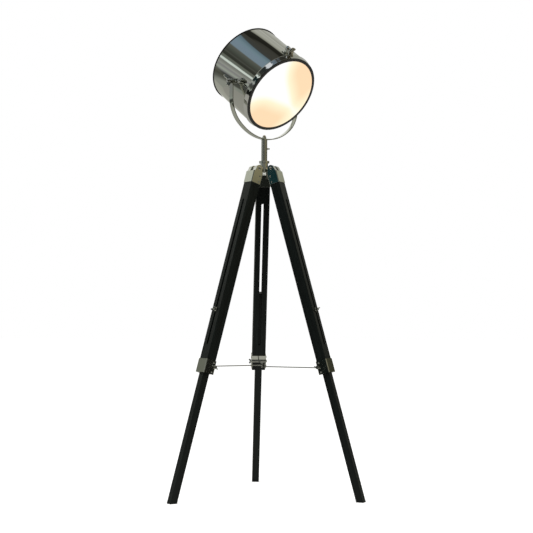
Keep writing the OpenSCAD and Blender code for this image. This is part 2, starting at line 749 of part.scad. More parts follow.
// Black rim that holds the lens in the bezel
module black_rim() color(black)
    on_drum() rotate_extrude($fn = 180) polygon([
        [rim_in_r, drum_front - lip_t], [rim_in_r, drum_front],
        [bezel_front_r - rim_bevel, drum_front], [bezel_front_r, drum_front - rim_bevel],
        [bezel_front_r, drum_front - lip_t], [rim_out_r, drum_front - lip_t],
        [rim_out_r, drum_front - lip_t - rim_skirt],
        [lens_flange_r, drum_front - lip_t - rim_skirt], [lens_flange_r, drum_front - lip_t]]);

// Frosted lens: a crowned face that stands in the rim, on a flange behind the lip
module lens() color(glow)
    on_drum() rotate_extrude($fn = 180) {
        intersection() {
            translate([0, drum_front + lens_crown - lens_curve]) difference() {
                circle(lens_curve, $fn = 720);
                circle(lens_curve - lens_t, $fn = 720);
            }
            translate([0, drum_front - lens_t]) square([lens_r, lens_t + 2 * lens_crown]);
        }
        translate([lens_r - lens_land, lens_flange_x - lens_flange_t]) {
            square([lens_flange_w - lens_gap + lens_land, lens_flange_t]);
            square([lens_land, lens_flange_t + lens_gap + lip_t - 0.5]);
        }
    }

// Wing screw that clamps the bezel to the drum's lug
module bezel_wing_screw() color(chrome)
    at_rim(clamp_angle) translate([clamp_lug_x + 1, clamp_r, 0]) rotate([0, 90, 0]) {
        cylinder(h = clamp_lug_t + clamp_gap + bezel_lug_t + 2,
                 d = clamp_screw_d - 2 * running_gap);
        translate([0, 0, clamp_lug_t + clamp_gap + bezel_lug_t - 1 + nut_gap])
            rotate([0, 0, 20]) wings(12, 9, 28, 15, 3, 4.5);
    }

// ---------------------------------------------------------------- legs

// Upper leg: a wooden box section, slotted outside and inside and notched for the brace
module upper_leg(k) color(black)
    on_leg(k) difference() {
        translate([0, 0, -upper_end]) linear_extrude(upper_end - upper_start)
            rounded_rect(upper_depth, upper_width, leg_corner_r, $fn = 32);
        translate([-cavity_side / 2, -cavity_side / 2, -upper_end - over])
            cube([cavity_side, cavity_side, upper_end - cavity_top + over]);
        translate([-upper_depth, -slot_width / 2, -slot_end + slot_width / 2])
            cube([2 * upper_depth, slot_width, slot_end - slot_top - slot_width]);
        for (z = [slot_top + slot_width / 2, slot_end - slot_width / 2])
            translate([-upper_depth, 0, -z]) rotate([0, 90, 0])
                cylinder(h = 2 * upper_depth, d = slot_width);
        translate([-upper_depth, -upper_width, -upper_end - over])
            cube([upper_depth - notch_in, 2 * upper_width,
                  upper_end - collar_top(k) - band_h + over]);
    }

// Lower leg: a square bar, cut level with the floor, with a tapped hole for the lock screw
module lower_leg(k) color(black)
    difference() {
        intersection() {
            on_leg(k) translate([-bar_side / 2, -bar_side / 2, -leg_len - bar_side])
                cube([bar_side, bar_side, leg_len + bar_side - bar_top]);
            on_base() translate([-2 * foot_r, -2 * foot_r, 0])
                cube([4 * foot_r, 4 * foot_r, hinge_h]);
        }
        on_leg(k) translate([bar_side / 2 - lock_depth, 0, -lock_drop]) rotate([0, 90, 0])
            cylinder(h = bar_side, d = lock_d);
    }

// Wing screw through the outer slot that locks the bar
module lock_screw(k) color(chrome)
    on_leg(k) translate([0, 0, -lock_drop]) rotate([0, 90, 0]) {
        translate([0, 0, bar_side / 2 - lock_depth + 1]) cylinder(
            h = upper_depth / 2 + 2 - bar_side / 2 + lock_depth, d = lock_d - 2 * running_gap);
        translate([0, 0, upper_depth / 2 + nut_gap])
            cylinder(h = lock_collar_t, d = lock_collar_d);
        translate([0, 0, upper_depth / 2 + nut_gap + lock_collar_t - 0.5]) rotate([0, 0, 25])
            wings(9, 7, lock_wing_span, lock_wing_h, 2.5, 3.5);
    }

// Metal socket on an upper leg's top, with two ears for the hinge
module leg_socket(k) color(chrome)
    on_leg(k) difference() {
        union() {
            translate([0, 0, -upper_start - socket_sleeve])
                linear_extrude(socket_plate + socket_sleeve)
                    rounded_rect(socket_x, socket_y, fitting_corner_r, $fn = 48);
            translate([0, socket_y / 2, 0]) rotate([90, 0, 0]) linear_extrude(socket_y) {
                circle(ear_r);
                polygon([[fitting_corner_r - socket_x / 2, -socket_floor - 1],
                         [socket_x / 2 - fitting_corner_r, -socket_floor - 1],
                         [ear_r * 0.94, 2], [-ear_r * 0.94, 2]]);
            }
        }
        translate([0, 0, -upper_start - socket_sleeve - over]) linear_extrude(socket_sleeve + over)
            rounded_rect(upper_depth, upper_width, leg_corner_r, $fn = 32);
        translate([-socket_x, -ear_gap / 2, -socket_floor])
            cube([2 * socket_x, ear_gap, 2 * socket_floor + ear_r]);
        translate([0, socket_y, 0]) rotate([90, 0, 0])
            cylinder(h = 2 * socket_y, d = pin_d + 2 * running_gap);
    }

// Metal collar on an upper leg's lower end, open on the inside below its band
module leg_collar(k) color(chrome)
    on_leg(k) translate([0, 0, -collar_top(k)]) difference() {
        union() {
            translate([0, 0, -collar_h]) linear_extrude(collar_h)
                rounded_rect(collar_x, collar_y, fitting_corner_r, $fn = 48);
            translate([-bolt_in, collar_y / 2, -bolt_drop]) rotate([90, 0, 0])
                cylinder(h = collar_y, r = lug_r);
        }
        translate([0, 0, -collar_h - over]) linear_extrude(collar_h + 2 * over)
            rounded_rect(upper_depth, upper_width, leg_corner_r, $fn = 32);
        translate([-collar_x, -upper_width / 2, -collar_h - over])
            cube([collar_x, upper_width, collar_h - band_h + over]);
        translate([-bolt_in, collar_y, -bolt_drop]) rotate([90, 0, 0])
            cylinder(h = 2 * collar_y, d = bolt_d);
    }

// Domed screws on the sides of the socket and the collar
module leg_screws(k) color(steel)
    on_leg(k) for (s = [-1, 1]) {
        for (z = socket_screw_z)
            translate([leg_screw_x, s * socket_y / 2, -z]) along_y(s)
                dome_head(leg_screw_d, leg_screw_h);
        for (z = collar_screw_z)
            translate([leg_screw_x, s * collar_y / 2, -collar_top(k) - z]) along_y(s)
                dome_head(leg_screw_d, leg_screw_h);
    }

// ---------------------------------------------------------------- brace

// Bolt across the collar, with a domed head on the side without the wing nut
module brace_bolt(k) color(steel)
    on_leg(k) translate([-bolt_in, 0, -collar_top(k) - bolt_drop]) {
        translate([0, -nut_side[k] * collar_y / 2, 0]) along_y(nut_side[k])
            cylinder(h = collar_y + bolt_past_collar, d = bolt_d);
        translate([0, -nut_side[k] * collar_y / 2, 0]) along_y(-nut_side[k])
            dome_head(bolt_d + 3.5, bolt_dome_h);
    }

// Small wing nut on the brace bolt
module brace_wing_nut(k) color(chrome)
    on_leg(k) translate([-bolt_in, nut_side[k] * (collar_y / 2 + nut_gap),
                         -collar_top(k) - bolt_drop]) along_y(nut_side[k]) rotate([0, 0, 50])
        wing_nut(bolt_d + 2 * running_gap, 8.5, 5, 18, 9, 2, 2.5);

// Length of a rod from its bolt to the end of its stop nut, past the boss
function past_boss(k) = bolt_r(k) + boss_d / 2 + face_gap + stop_t;

// Brace rod: a barrel on the bolt, and a rod through the boss with a stop nut on its end
module brace_rod(k) color(steel)
    on_rod(k) difference() {
        union() {
            translate([-past_boss(k), 0, 0]) rotate([0, 90, 0]) {
                cylinder(h = past_boss(k), d = rod_d, $fn = 24);
                cylinder(h = stop_t, d = stop_d, $fn = 6);
            }
            translate([0, barrel_len / 2, bolt_z(k) - rod_level[k]]) rotate([90, 0, 0])
                cylinder(h = barrel_len, d = barrel_d);
        }
        translate([0, upper_width, bolt_z(k) - rod_level[k]]) rotate([90, 0, 0])
            cylinder(h = 2 * upper_width, d = bolt_d + 2 * running_gap);
    }

// Small boss under the pole in which the three rods cross
module brace_boss() color(steel)
    on_base() difference() {
        translate([0, 0, boss_low]) cylinder(h = boss_high - boss_low, d = boss_d);
        for (k = [BACK:RIGHT]) translate([0, 0, rod_level[k]]) rotate([0, 0, azimuth(k)])
            rotate([0, 90, 0]) cylinder(h = 2 * boss_d, d = rod_d + 2 * rod_gap, center = true);
    }

hub_casting();
pole_tube();
hinge_pins();
pan_lock_screw();
yoke();
yoke_spigot();
acorn_nut();
pivot_bolts();
pivot_washers();
pivot_wing_nut_left();
pivot_wing_nut_right();
side_brackets();
bracket_screws();
drum_shell();
back_bead_ring();
rear_cover();
rear_cover_screws();
cable_gland();
lamp_holder();
lamp_holder_bracket();
bulb();
clamp_lug();
bezel_ring();
bezel_lug();
black_rim();
lens();
bezel_wing_screw();
upper_leg(BACK);  // upper_leg_back
upper_leg(LEFT);  // upper_leg_left
upper_leg(RIGHT);  // upper_leg_right
leg_socket(BACK);  // leg_socket_back
leg_socket(LEFT);  // leg_socket_left
leg_socket(RIGHT);  // leg_socket_right
leg_collar(BACK);  // leg_collar_back
leg_collar(LEFT);  // leg_collar_left
leg_collar(RIGHT);  // leg_collar_right
leg_screws(BACK);  // leg_screws_back
leg_screws(LEFT);  // leg_screws_left
leg_screws(RIGHT);  // leg_screws_right
lower_leg(BACK);  // lower_leg_back
lower_leg(LEFT);  // lower_leg_left
lower_leg(RIGHT);  // lower_leg_right
lock_screw(BACK);  // lock_screw_back
lock_screw(LEFT);  // lock_screw_left
lock_screw(RIGHT);  // lock_screw_right
brace_bolt(BACK);  // brace_bolt_back
brace_bolt(LEFT);  // brace_bolt_left
brace_bolt(RIGHT);  // brace_bolt_right
brace_wing_nut(BACK);  // brace_wing_nut_back
brace_wing_nut(LEFT);  // brace_wing_nut_left
brace_wing_nut(RIGHT);  // brace_wing_nut_right
brace_rod(BACK);  // brace_rod_back
brace_rod(LEFT);  // brace_rod_left
brace_rod(RIGHT);  // brace_rod_right
brace_boss();
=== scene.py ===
"""Tripod spotlight floor lamp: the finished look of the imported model.

A drum-shaped spotlight hangs in a U-shaped yoke on a short pole. Three slotted, telescoping
wooden legs carry the pole, and level rods brace them. Each sub-assembly is a class that holds
its sizes, in metres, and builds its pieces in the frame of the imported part. Solids that are
already right keep their form and get eased edges; round sheet metal is turned afresh.
"""
from __future__ import annotations

import logging
import math
from abc import ABC, abstractmethod
from dataclasses import dataclass, field
from enum import Enum
from typing import Any, Sequence

import bmesh
import bpy
from mathutils import Matrix, Vector


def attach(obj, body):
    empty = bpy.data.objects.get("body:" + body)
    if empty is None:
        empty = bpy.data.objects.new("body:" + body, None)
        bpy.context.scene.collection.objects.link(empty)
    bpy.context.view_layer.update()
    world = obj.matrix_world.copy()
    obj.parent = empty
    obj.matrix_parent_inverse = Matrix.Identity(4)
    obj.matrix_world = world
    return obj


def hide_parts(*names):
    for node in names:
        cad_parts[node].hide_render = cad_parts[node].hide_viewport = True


LOG = logging.getLogger("lamp")
MM = 0.001

Object = bpy.types.Object
Material = bpy.types.Material
Tree = bpy.types.NodeTree
Socket = bpy.types.NodeSocket
Profile = Sequence[tuple[float, float]]
Bands = tuple[tuple[float, str], ...]


# ------------------------------------------------------------------ the part's own frames


class Side(Enum):
    """The three legs, with their azimuth before the tripod is turned."""

    BACK = 90.0
    LEFT = 210.0
    RIGHT = 330.0

    @property
    def word(self) -> str:
        """The leg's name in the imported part."""
        return self.name.lower()


def rotation(angle: float, axis: str) -> Matrix:
    """A turn by an angle in degrees about the X, Y or Z axis."""
    return Matrix.Rotation(math.radians(angle), 4, axis)


@dataclass(frozen=True)
class Layout:
    """Where the lamp's frames lie, in metres and degrees, as in the part's source."""

    pole_x: float = -0.0129678
    pole_y: float = -0.0711551
    hinge_h: float = 1.055
    hinge_r: float = 0.034
    lean: float = 16.1
    turn: float = 4.5
    pivot_h: float = 1.3245
    pan: float = -44.1
    tilt: float = 37.3
    axis_rise: float = 0.0195

    def base(self) -> Matrix:
        """The lamp's own frame, with the pole's axis at x = y = 0."""
        return Matrix.Translation((self.pole_x, self.pole_y, 0.0))

    def pivot(self) -> Matrix:
        """The base frame, raised to the level of the pivot."""
        return self.base() @ Matrix.Translation((0.0, 0.0, self.pivot_h))

    def yoke(self) -> Matrix:
        """The yoke's frame: origin on the pivot, x forwards and level."""
        return self.pivot() @ rotation(self.pan, "Z")

    def head(self) -> Matrix:
        """The head's frame: x out of the lens, y along the pivot."""
        return self.yoke() @ rotation(self.tilt, "Y")

    def drum(self) -> Matrix:
        """The drum's frame: z along the drum's axis, out of the lens."""
        return self.head() @ Matrix.Translation((0.0, 0.0, self.axis_rise)) @ rotation(90.0, "Y")

    def leg(self, side: Side) -> Matrix:
        """A leg's frame: origin on its hinge pin, x outwards and z up the leg.

        Args:
            side: which leg.

        Returns:
            The frame's matrix.
        """
        return (self.base() @ rotation(side.value + self.turn, "Z")
                @ Matrix.Translation((self.hinge_r, 0.0, self.hinge_h))
                @ rotation(-self.lean, "Y"))


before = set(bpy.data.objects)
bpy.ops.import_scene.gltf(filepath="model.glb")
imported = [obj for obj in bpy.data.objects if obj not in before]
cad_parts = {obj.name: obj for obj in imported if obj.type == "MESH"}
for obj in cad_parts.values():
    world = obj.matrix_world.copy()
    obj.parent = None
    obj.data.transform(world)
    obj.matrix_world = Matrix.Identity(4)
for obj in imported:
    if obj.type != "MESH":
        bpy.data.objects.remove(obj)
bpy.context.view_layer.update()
LAYOUT = Layout()


# ------------------------------------------------------------------ node trees


def linear(code: str) -> tuple[float, float, float, float]:
    """Turns an sRGB hex colour to a linear one.

    Args:
        code: six hex digits after a hash.

    Returns:
        Linear red, green, blue and an alpha of 1.
    """
    parts = [int(code[i:i + 2], 16) / 255.0 for i in (1, 3, 5)]
    out = [c / 12.92 if c <= 0.04045 else ((c + 0.055) / 1.055) ** 2.4 for c in parts]
    return out[0], out[1], out[2], 1.0


def put(tree: Tree, kind: str, inputs: dict[Any, Any] | None = None,
        **settings: Any) -> bpy.types.Node:
    """Adds one node with its settings, values and links.

    Args:
        tree: the tree that gets the node.
        kind: the node's type name.
        inputs: socket name or number to a value, or to the socket that feeds it.
        **settings: attributes of the node.

    Returns:
        The new node.
    """
    node = tree.nodes.new(kind)
    for key, value in settings.items():
        setattr(node, key, value)
    for key, value in (inputs or {}).items():
        if isinstance(value, Socket):
            tree.links.new(value, node.inputs[key])
        else:
            node.inputs[key].default_value = value
    return node


def ramp(tree: Tree, fac: Socket, stops: Sequence[tuple[float, str]]) -> Socket:
    """Adds a colour ramp.

    Args:
        tree: the material's tree.
        fac: the socket that drives the ramp.
        stops: place from 0 to 1 and hex colour of each stop, in order.

    Returns:
        The ramp's colour socket.
    """
    node = put(tree, "ShaderNodeValToRGB", {"Fac": fac})
    band = node.color_ramp
    while len(band.elements) < len(stops):
        band.elements.new(0.5)
    for element, (place, code) in zip(band.elements, stops):
        element.position = place
        element.color = linear(code)
    return node.outputs["Color"]


def blank_material(name: str) -> tuple[Material, Tree]:
    """A material with an empty tree.

    Args:
        name: the material's name.

    Returns:
        The material and its tree.
    """
    material = bpy.data.materials.new(name)
    material.use_nodes = True
    material.node_tree.nodes.clear()
    return material, material.node_tree


def principled(tree: Tree, inputs: dict[str, Any]) -> None:
    """Ends a material's tree with a Principled shader.

    Args:
        tree: the material's tree.
        inputs: the shader's values, and the sockets that feed it.
    """
    shader = put(tree, "ShaderNodeBsdfPrincipled", inputs)
    put(tree, "ShaderNodeOutputMaterial", {"Surface": shader.outputs["BSDF"]})


def placed(tree: Tree, frame: Matrix, cell: Sequence[float] = (1.0, 1.0, 1.0)) -> Socket:
    """Object coordinates turned into a piece's own frame and counted in pattern cells.

    Args:
        tree: the material's tree.
        frame: the piece's frame.
        cell: size of one cell of the pattern along the frame's x, y and z, in metres.

    Returns:
        The vector socket.
    """
    coords = put(tree, "ShaderNodeTexCoord")
    node = put(tree, "ShaderNodeMapping",
               {"Vector": coords.outputs["Object"], "Location": frame.to_translation(),
                "Rotation": frame.to_euler("XYZ"), "Scale": cell}, vector_type="TEXTURE")
    return node.outputs["Vector"]


# ------------------------------------------------------------------ finishes

# Where nearly all values of one noise lie, and of the product of two
NOISE_LOW, NOISE_HIGH = 0.3, 0.7
PRODUCT_LOW, PRODUCT_HIGH = 0.12, 0.42


@dataclass(frozen=True)
class Finish(ABC):
    """What a surface is made of. Its pattern lies in the frame of the piece that wears it."""

    name: str

    def make(self, frame: Matrix) -> Material:
        """Builds the finish for a piece.

        Args:
            frame: the piece's frame, with the grain or the buffing along its z.

        Returns:
            The material.
        """
        material, tree = blank_material(self.name)
        principled(tree, self.surface(tree, frame))
        return material

    @abstractmethod
    def surface(self, tree: Tree, frame: Matrix) -> dict[str, Any]:
        """The Principled shader's values, and the sockets that feed it."""


@dataclass(frozen=True)
class PolishedMetal(Finish):
    """Bright plated or polished metal, buffed along one direction.

    Buffing leaves hair-fine lines, which the eye reads as a soft streak in each reflection.
    The real lines are finer than a pixel, so they are drawn as coarse as they need to show.
    """

    tint: str
    smooth: float = 0.05
    worn: float = 0.12
    hair: float = 0.9 * MM
    run: float = 140 * MM
    depth: float = 0.004 * MM
    cloud: float = 35 * MM

    def surface(self, tree: Tree, frame: Matrix) -> dict[str, Any]:
        """Hair lines, with a slow change of sheen over them.

        Args:
            tree: the material's tree.
            frame: the piece's frame.

        Returns:
            The Principled shader's inputs.
        """
        hair = put(tree, "ShaderNodeTexNoise",
                   {"Vector": placed(tree, frame, (self.hair, self.hair, self.run)),
                    "Scale": 1.0, "Detail": 3.0, "Roughness": 0.6})
        cloud = put(tree, "ShaderNodeTexNoise",
                    {"Vector": placed(tree, frame, (self.cloud,) * 3), "Scale": 1.0,
                     "Detail": 2.0})
        both = put(tree, "ShaderNodeMath",
                   {0: hair.outputs["Fac"], 1: cloud.outputs["Fac"]}, operation="MULTIPLY")
        rough = put(tree, "ShaderNodeMapRange",
                    {"Value": both.outputs[0], "From Min": PRODUCT_LOW,
                     "From Max": PRODUCT_HIGH, "To Min": self.smooth, "To Max": self.worn})
        bump = put(tree, "ShaderNodeBump", {"Height": hair.outputs["Fac"], "Strength": 1.0,
                                            "Distance": self.depth})
        return {"Base Color": linear(self.tint), "Metallic": 1.0,
                "Roughness": rough.outputs["Result"], "Normal": bump.outputs["Normal"]}


@dataclass(frozen=True)
class SatinBlackWood(Finish):
    """Close-grained hardwood, stained black under a satin lacquer.

    The lacquer half fills the pores, so the grain shows as a slow change of sheen. Real pores
    are finer than a pixel, so the grain is drawn as coarse as it needs to show.
    """

    name: str = "satin_black_wood"
    dark: str = "#050807"
    light: str = "#0c1412"
    grain: float = 1.3 * MM
    run: float = 70 * MM
    figure: float = 9 * MM
    figure_run: float = 180 * MM
    sheen: tuple[float, float] = (0.5, 0.36)
    depth: float = 0.06 * MM

    def surface(self, tree: Tree, frame: Matrix) -> dict[str, Any]:
        """Grain along the stick, in a broader figure.

        Args:
            tree: the material's tree.
            frame: the stick's frame.

        Returns:
            The Principled shader's inputs.
        """
        grain = put(tree, "ShaderNodeTexNoise",
                    {"Vector": placed(tree, frame, (self.grain, self.grain, self.run)),
                     "Scale": 1.0, "Detail": 5.0, "Roughness": 0.62, "Distortion": 0.25})
        broad = (self.figure, self.figure, self.figure_run)
        figure = put(tree, "ShaderNodeTexNoise",
                     {"Vector": placed(tree, frame, broad), "Scale": 1.0, "Detail": 2.0})
        mix = put(tree, "ShaderNodeMath", {0: grain.outputs["Fac"], 1: figure.outputs["Fac"]},
                  operation="MULTIPLY")
        sheen = put(tree, "ShaderNodeMapRange",
                    {"Value": grain.outputs["Fac"], "From Min": NOISE_LOW,
                     "From Max": NOISE_HIGH, "To Min": self.sheen[0], "To Max": self.sheen[1]})
        bump = put(tree, "ShaderNodeBump", {"Height": grain.outputs["Fac"], "Strength": 0.6,
                                            "Distance": self.depth})
        stops = [(PRODUCT_LOW, self.dark), (PRODUCT_HIGH, self.light)]
        return {"Base Color": ramp(tree, mix.outputs[0], stops),
                "Roughness": sheen.outputs["Result"], "Normal": bump.outputs["Normal"],
                "IOR": 1.5, "Specular IOR Level": 0.3}


@dataclass(frozen=True)
class Coated(Finish):
    """An opaque non-metal skin: enamel, glazed porcelain or moulded plastic.

    A faint ripple keeps its highlights from looking drawn with a ruler.
    """

    colour: str
    rough: float
    ripple: float = 0.8 * MM
    depth: float = 0.01 * MM
    vary: float = 0.15

    def surface(self, tree: Tree, frame: Matrix) -> dict[str, Any]:
        """An even colour over a faint ripple.

        Args:
            tree: the material's tree.
            frame: the piece's frame.

        Returns:
            The Principled shader's inputs.
        """
        noise = put(tree, "ShaderNodeTexNoise",
                    {"Vector": placed(tree, frame, (self.ripple,) * 3), "Scale": 1.0,
                     "Detail": 2.0})
        rough = put(tree, "ShaderNodeMapRange",
                    {"Value": noise.outputs["Fac"], "From Min": NOISE_LOW,
                     "From Max": NOISE_HIGH, "To Min": self.rough * (1.0 - self.vary),
                     "To Max": self.rough * (1.0 + self.vary)})
        bump = put(tree, "ShaderNodeBump", {"Height": noise.outputs["Fac"], "Strength": 0.5,
                                            "Distance": self.depth})
        return {"Base Color": linear(self.colour), "Roughness": rough.outputs["Result"],
                "Normal": bump.outputs["Normal"], "IOR": 1.5}


@dataclass(frozen=True)
class LitFrostedGlass(Finish):
    """Sand-blasted glass, lit from behind by a lamp that stands across the drum.

    The middle burns out to white in a broad bar, and the glass glows peach on both sides. The
    grit is drawn coarser than the real one, which is finer than a pixel.
    """

    name: str = "lit_frosted_glass"
    unlit: str = "#3a3730"
    stops: Bands = ((0.0, "#ffffff"), (0.06, "#ffffff"), (0.4, "#fff2cf"), (0.95, "#fdd9b0"))
    bar_angle: float = -27.4
    bar_taper: float = 0.35
    bar_side: tuple[float, float] = (-2 * MM, 88 * MM)
    glow_start: tuple[float, float] = (-120 * MM, -15 * MM)
    glow_end: tuple[float, float] = (60 * MM, 115 * MM)
    end_share: float = 0.45
    grit: float = 0.7 * MM
    depth: float = 0.02 * MM

    def surface(self, tree: Tree, frame: Matrix) -> dict[str, Any]:
        """The white bar, the peach glow on both sides of it and the grit.

        Args:
            tree: the material's tree.
            frame: the drum's frame, with z along its axis.

        Returns:
            The Principled shader's inputs.
        """
        spot = put(tree, "ShaderNodeSeparateXYZ",
                   {0: placed(tree, frame @ rotation(self.bar_angle, "Z"))})
        across = put(tree, "ShaderNodeMath", {0: spot.outputs["X"]}, operation="ABSOLUTE")
        narrow = put(tree, "ShaderNodeMath", {0: spot.outputs["Y"], 1: self.bar_taper,
                                              2: across.outputs[0]}, operation="MULTIPLY_ADD")
        glow: float | Socket = 1.0
        for value, (low, high), (first, last) in (
                (narrow.outputs[0], self.bar_side, (0.0, 1.0)),
                (spot.outputs["Y"], self.glow_start, (0.0, 1.0)),
                (spot.outputs["Y"], self.glow_end, (1.0, self.end_share))):
            share = put(tree, "ShaderNodeMapRange",
                        {"Value": value, "From Min": low, "From Max": high, "To Min": first,
                         "To Max": last}, interpolation_type="SMOOTHSTEP")
            glow = put(tree, "ShaderNodeMath", {0: glow, 1: share.outputs["Result"]},
                       operation="MULTIPLY").outputs[0]
        grit = put(tree, "ShaderNodeTexNoise",
                   {"Vector": placed(tree, frame, (self.grit,) * 3), "Scale": 1.0,
                    "Detail": 2.0})
        bump = put(tree, "ShaderNodeBump", {"Height": grit.outputs["Fac"], "Strength": 0.4,
                                            "Distance": self.depth})
        return {"Base Color": linear(self.unlit), "Roughness": 0.5, "IOR": 1.5,
                "Emission Color": ramp(tree, glow, self.stops), "Emission Strength": 1.0,
                "Normal": bump.outputs["Normal"]}


# Rolled sheet, mirror-polished: long bands of the room, broken into lines along the drum
DRUM_CHROME = PolishedMetal("polished_drum_sheet", "#cdcdc7", smooth=0.015, worn=0.05,
                            hair=5.0 * MM, run=900 * MM, depth=0.022 * MM)
# Spun and chromed: a clean mirror with no direction
BEZEL_CHROME = PolishedMetal("chromed_spun_ring", "#d2d2cf", smooth=0.02, worn=0.06,
                             hair=3.0 * MM, run=3.0 * MM, depth=0.002 * MM)
# Chromed flat steel: a mirror with a slight haze along the strap
YOKE_CHROME = PolishedMetal("chromed_steel_strap", "#bfc1b8")
# Plated screws and nuts: small bright sparks, softer than the sheet's
SCREW_CHROME = PolishedMetal("chromed_screw", "#cfcfca", smooth=0.12, worn=0.22,
                             hair=0.8 * MM, run=0.8 * MM, depth=0.002 * MM)
# Satin tube: one broad soft highlight down the pole
POLE_CHROME = PolishedMetal("satin_chromed_tube", "#c4c4bd", smooth=0.22, worn=0.32)
# Cast, then polished by hand: mirrors that wander a little
CAST_POLISH = PolishedMetal("polished_casting", "#cccdc6", smooth=0.06, worn=0.16,
                            hair=2.2 * MM, run=9 * MM, depth=0.01 * MM)
# Tumbled before plating: a warm, dull sheen
GRIP_NICKEL = PolishedMetal("tumbled_nickel_grip", "#b5ac98", smooth=0.34, worn=0.46,
                            hair=1.2 * MM, run=1.2 * MM, depth=0.01 * MM)
# Bright drawn wire: a thin, slightly grey line of light
STEEL_ROD = PolishedMetal("drawn_steel", "#a9a9a4", smooth=0.18, worn=0.3)
BLACK_ENAMEL = Coated("black_enamel", "#0c0a09", 0.22)
PORCELAIN = Coated("glazed_porcelain", "#e6e3da", 0.12, ripple=6 * MM)
GLAND_PLASTIC = Coated("moulded_nylon", "#141414", 0.45, ripple=0.5 * MM, depth=0.02 * MM)
OPAL_BULB = Coated("opal_bulb_glass", "#f6f1e4", 0.1, ripple=12 * MM)
LENS_GLASS = LitFrostedGlass()
WOOD = SatinBlackWood()


class Palette:
    """The finishes of one sub-assembly, each made once, in its frame."""

    def __init__(self, frame: Matrix) -> None:
        """Starts with no finish made.

        Args:
            frame: the sub-assembly's frame.
        """
        self.frame = frame
        self.made: dict[Finish, Material] = {}

    def __getitem__(self, finish: Finish) -> Material:
        """The material of a finish, which is made when it is first asked for.

        Args:
            finish: the finish.

        Returns:
            Its material.
        """
        if finish not in self.made:
            self.made[finish] = finish.make(self.frame)
        return self.made[finish]


# ------------------------------------------------------------------ mesh tools

# A radius below this lies on the axis
TINY = 1e-7
# Pieces of a rounded corner
CORNER_STEPS = 4
# Vertices nearer than this are one, and faces turned by less than this, in degrees, are one
MERGED = 0.002 * MM
ONE_FACE = 0.6


def soften(profile: Profile, radius: float) -> list[tuple[float, float]]:
    """Rounds the corners of a closed profile, except those on the axis.

    Args:
        profile: the corners, as radius and height.
        radius: how far from each corner the rounding starts.

    Returns:
        The rounded profile.
    """
    out: list[tuple[float, float]] = []
    count = len(profile)
    for i in range(count):
        before, here, after = (Vector(profile[(i + j) % count]) for j in (-1, 0, 1))
        if here.x < TINY:
            out.append((here.x, here.y))
            continue
        # A short side leaves a tenth of its length between its two roundings
        a = here + (before - here).normalized() * min(radius, (before - here).length * 0.45)
        b = here + (after - here).normalized() * min(radius, (after - here).length * 0.45)
        for j in range(CORNER_STEPS + 1):
            t = j / CORNER_STEPS
            p = a * (1 - t) ** 2 + here * 2 * t * (1 - t) + b * t * t
            out.append((p.x, p.y))
    return out


def added(name: str, data: bpy.types.ID) -> Object:
    """Adds an object to the scene.

    Args:
        name: the object's name.
        data: its mesh, lamp or camera.

    Returns:
        The new object.
    """
    obj = bpy.data.objects.new(name, data)
    bpy.context.scene.collection.objects.link(obj)
    return obj


def smooth(obj: Object, angle: float) -> None:
    """Shades a mesh smooth, but for edges turned by more than an angle in degrees."""
    obj.data.shade_smooth()
    obj.data.set_sharp_from_angle(angle=math.radians(angle))


def as_object(name: str, bm: bmesh.types.BMesh, angle: float = 35.0) -> Object:
    """Makes an object of a bmesh, smooth but for its sharp edges.

    Args:
        name: the object's name.
        bm: the mesh, which is freed.
        angle: edges turned by more than this stay sharp, in degrees.

    Returns:
        The new object.
    """
    mesh = bpy.data.meshes.new(name)
    bm.to_mesh(mesh)
    bm.free()
    obj = added(name, mesh)
    smooth(obj, angle)
    return obj


def turned(name: str, profile: Profile, frame: Matrix, closed: bool = True,
           segments: int = 256) -> Object:
    """Turns a profile about its frame's z axis.

    Args:
        name: the object's name.
        profile: radius and height of each point.
        frame: the frame that it is turned in.
        closed: whether the last point joins the first.
        segments: steps round the axis.

    Returns:
        The new object, with its place in its mesh.
    """
    bm = bmesh.new()
    rings: list[list[bmesh.types.BMVert]] = []
    for r, z in profile:
        if r < TINY:
            rings.append([bm.verts.new((0.0, 0.0, z))])
            continue
        angles = [2 * math.pi * i / segments for i in range(segments)]
        rings.append([bm.verts.new((r * math.cos(a), r * math.sin(a), z)) for a in angles])
    pairs = list(zip(rings, rings[1:]))
    if closed:
        pairs.append((rings[-1], rings[0]))
    for low, high in pairs:
        if len(low) == 1 and len(high) == 1:
            continue
        for i in range(segments):
            j = (i + 1) % segments
            if len(low) == 1:
                bm.faces.new((low[0], high[j], high[i]))
            elif len(high) == 1:
                bm.faces.new((low[i], low[j], high[0]))
            else:
                bm.faces.new((low[i], low[j], high[j], high[i]))
    bmesh.ops.recalc_face_normals(bm, faces=bm.faces)
    bm.transform(frame)
    return as_object(name, bm)


def baked(obj: Object) -> Object:
    """Turns an object's evaluated shape into its plain mesh and drops its modifiers.

    Args:
        obj: the object.

    Returns:
        The same object.
    """
    bpy.context.view_layer.update()
    graph = bpy.context.evaluated_depsgraph_get()
    mesh = bpy.data.meshes.new_from_object(obj.evaluated_get(graph), depsgraph=graph)
    obj.modifiers.clear()
    obj.data = mesh
    return obj


def bevelled(obj: Object, width: float, steps: int, angle: float) -> Object:
    """Eases the edges of an object.

    Args:
        obj: the object.
        width: width of an eased edge, in metres.
        steps: faces across it.
        angle: edges turned by less than this are left, in degrees.

    Returns:
        The same object, baked.
    """
    bevel = obj.modifiers.new("edge", "BEVEL")
    bevel.width = width
    bevel.segments = steps
    bevel.limit_method = "ANGLE"
    bevel.angle_limit = math.radians(angle)
    return baked(obj)


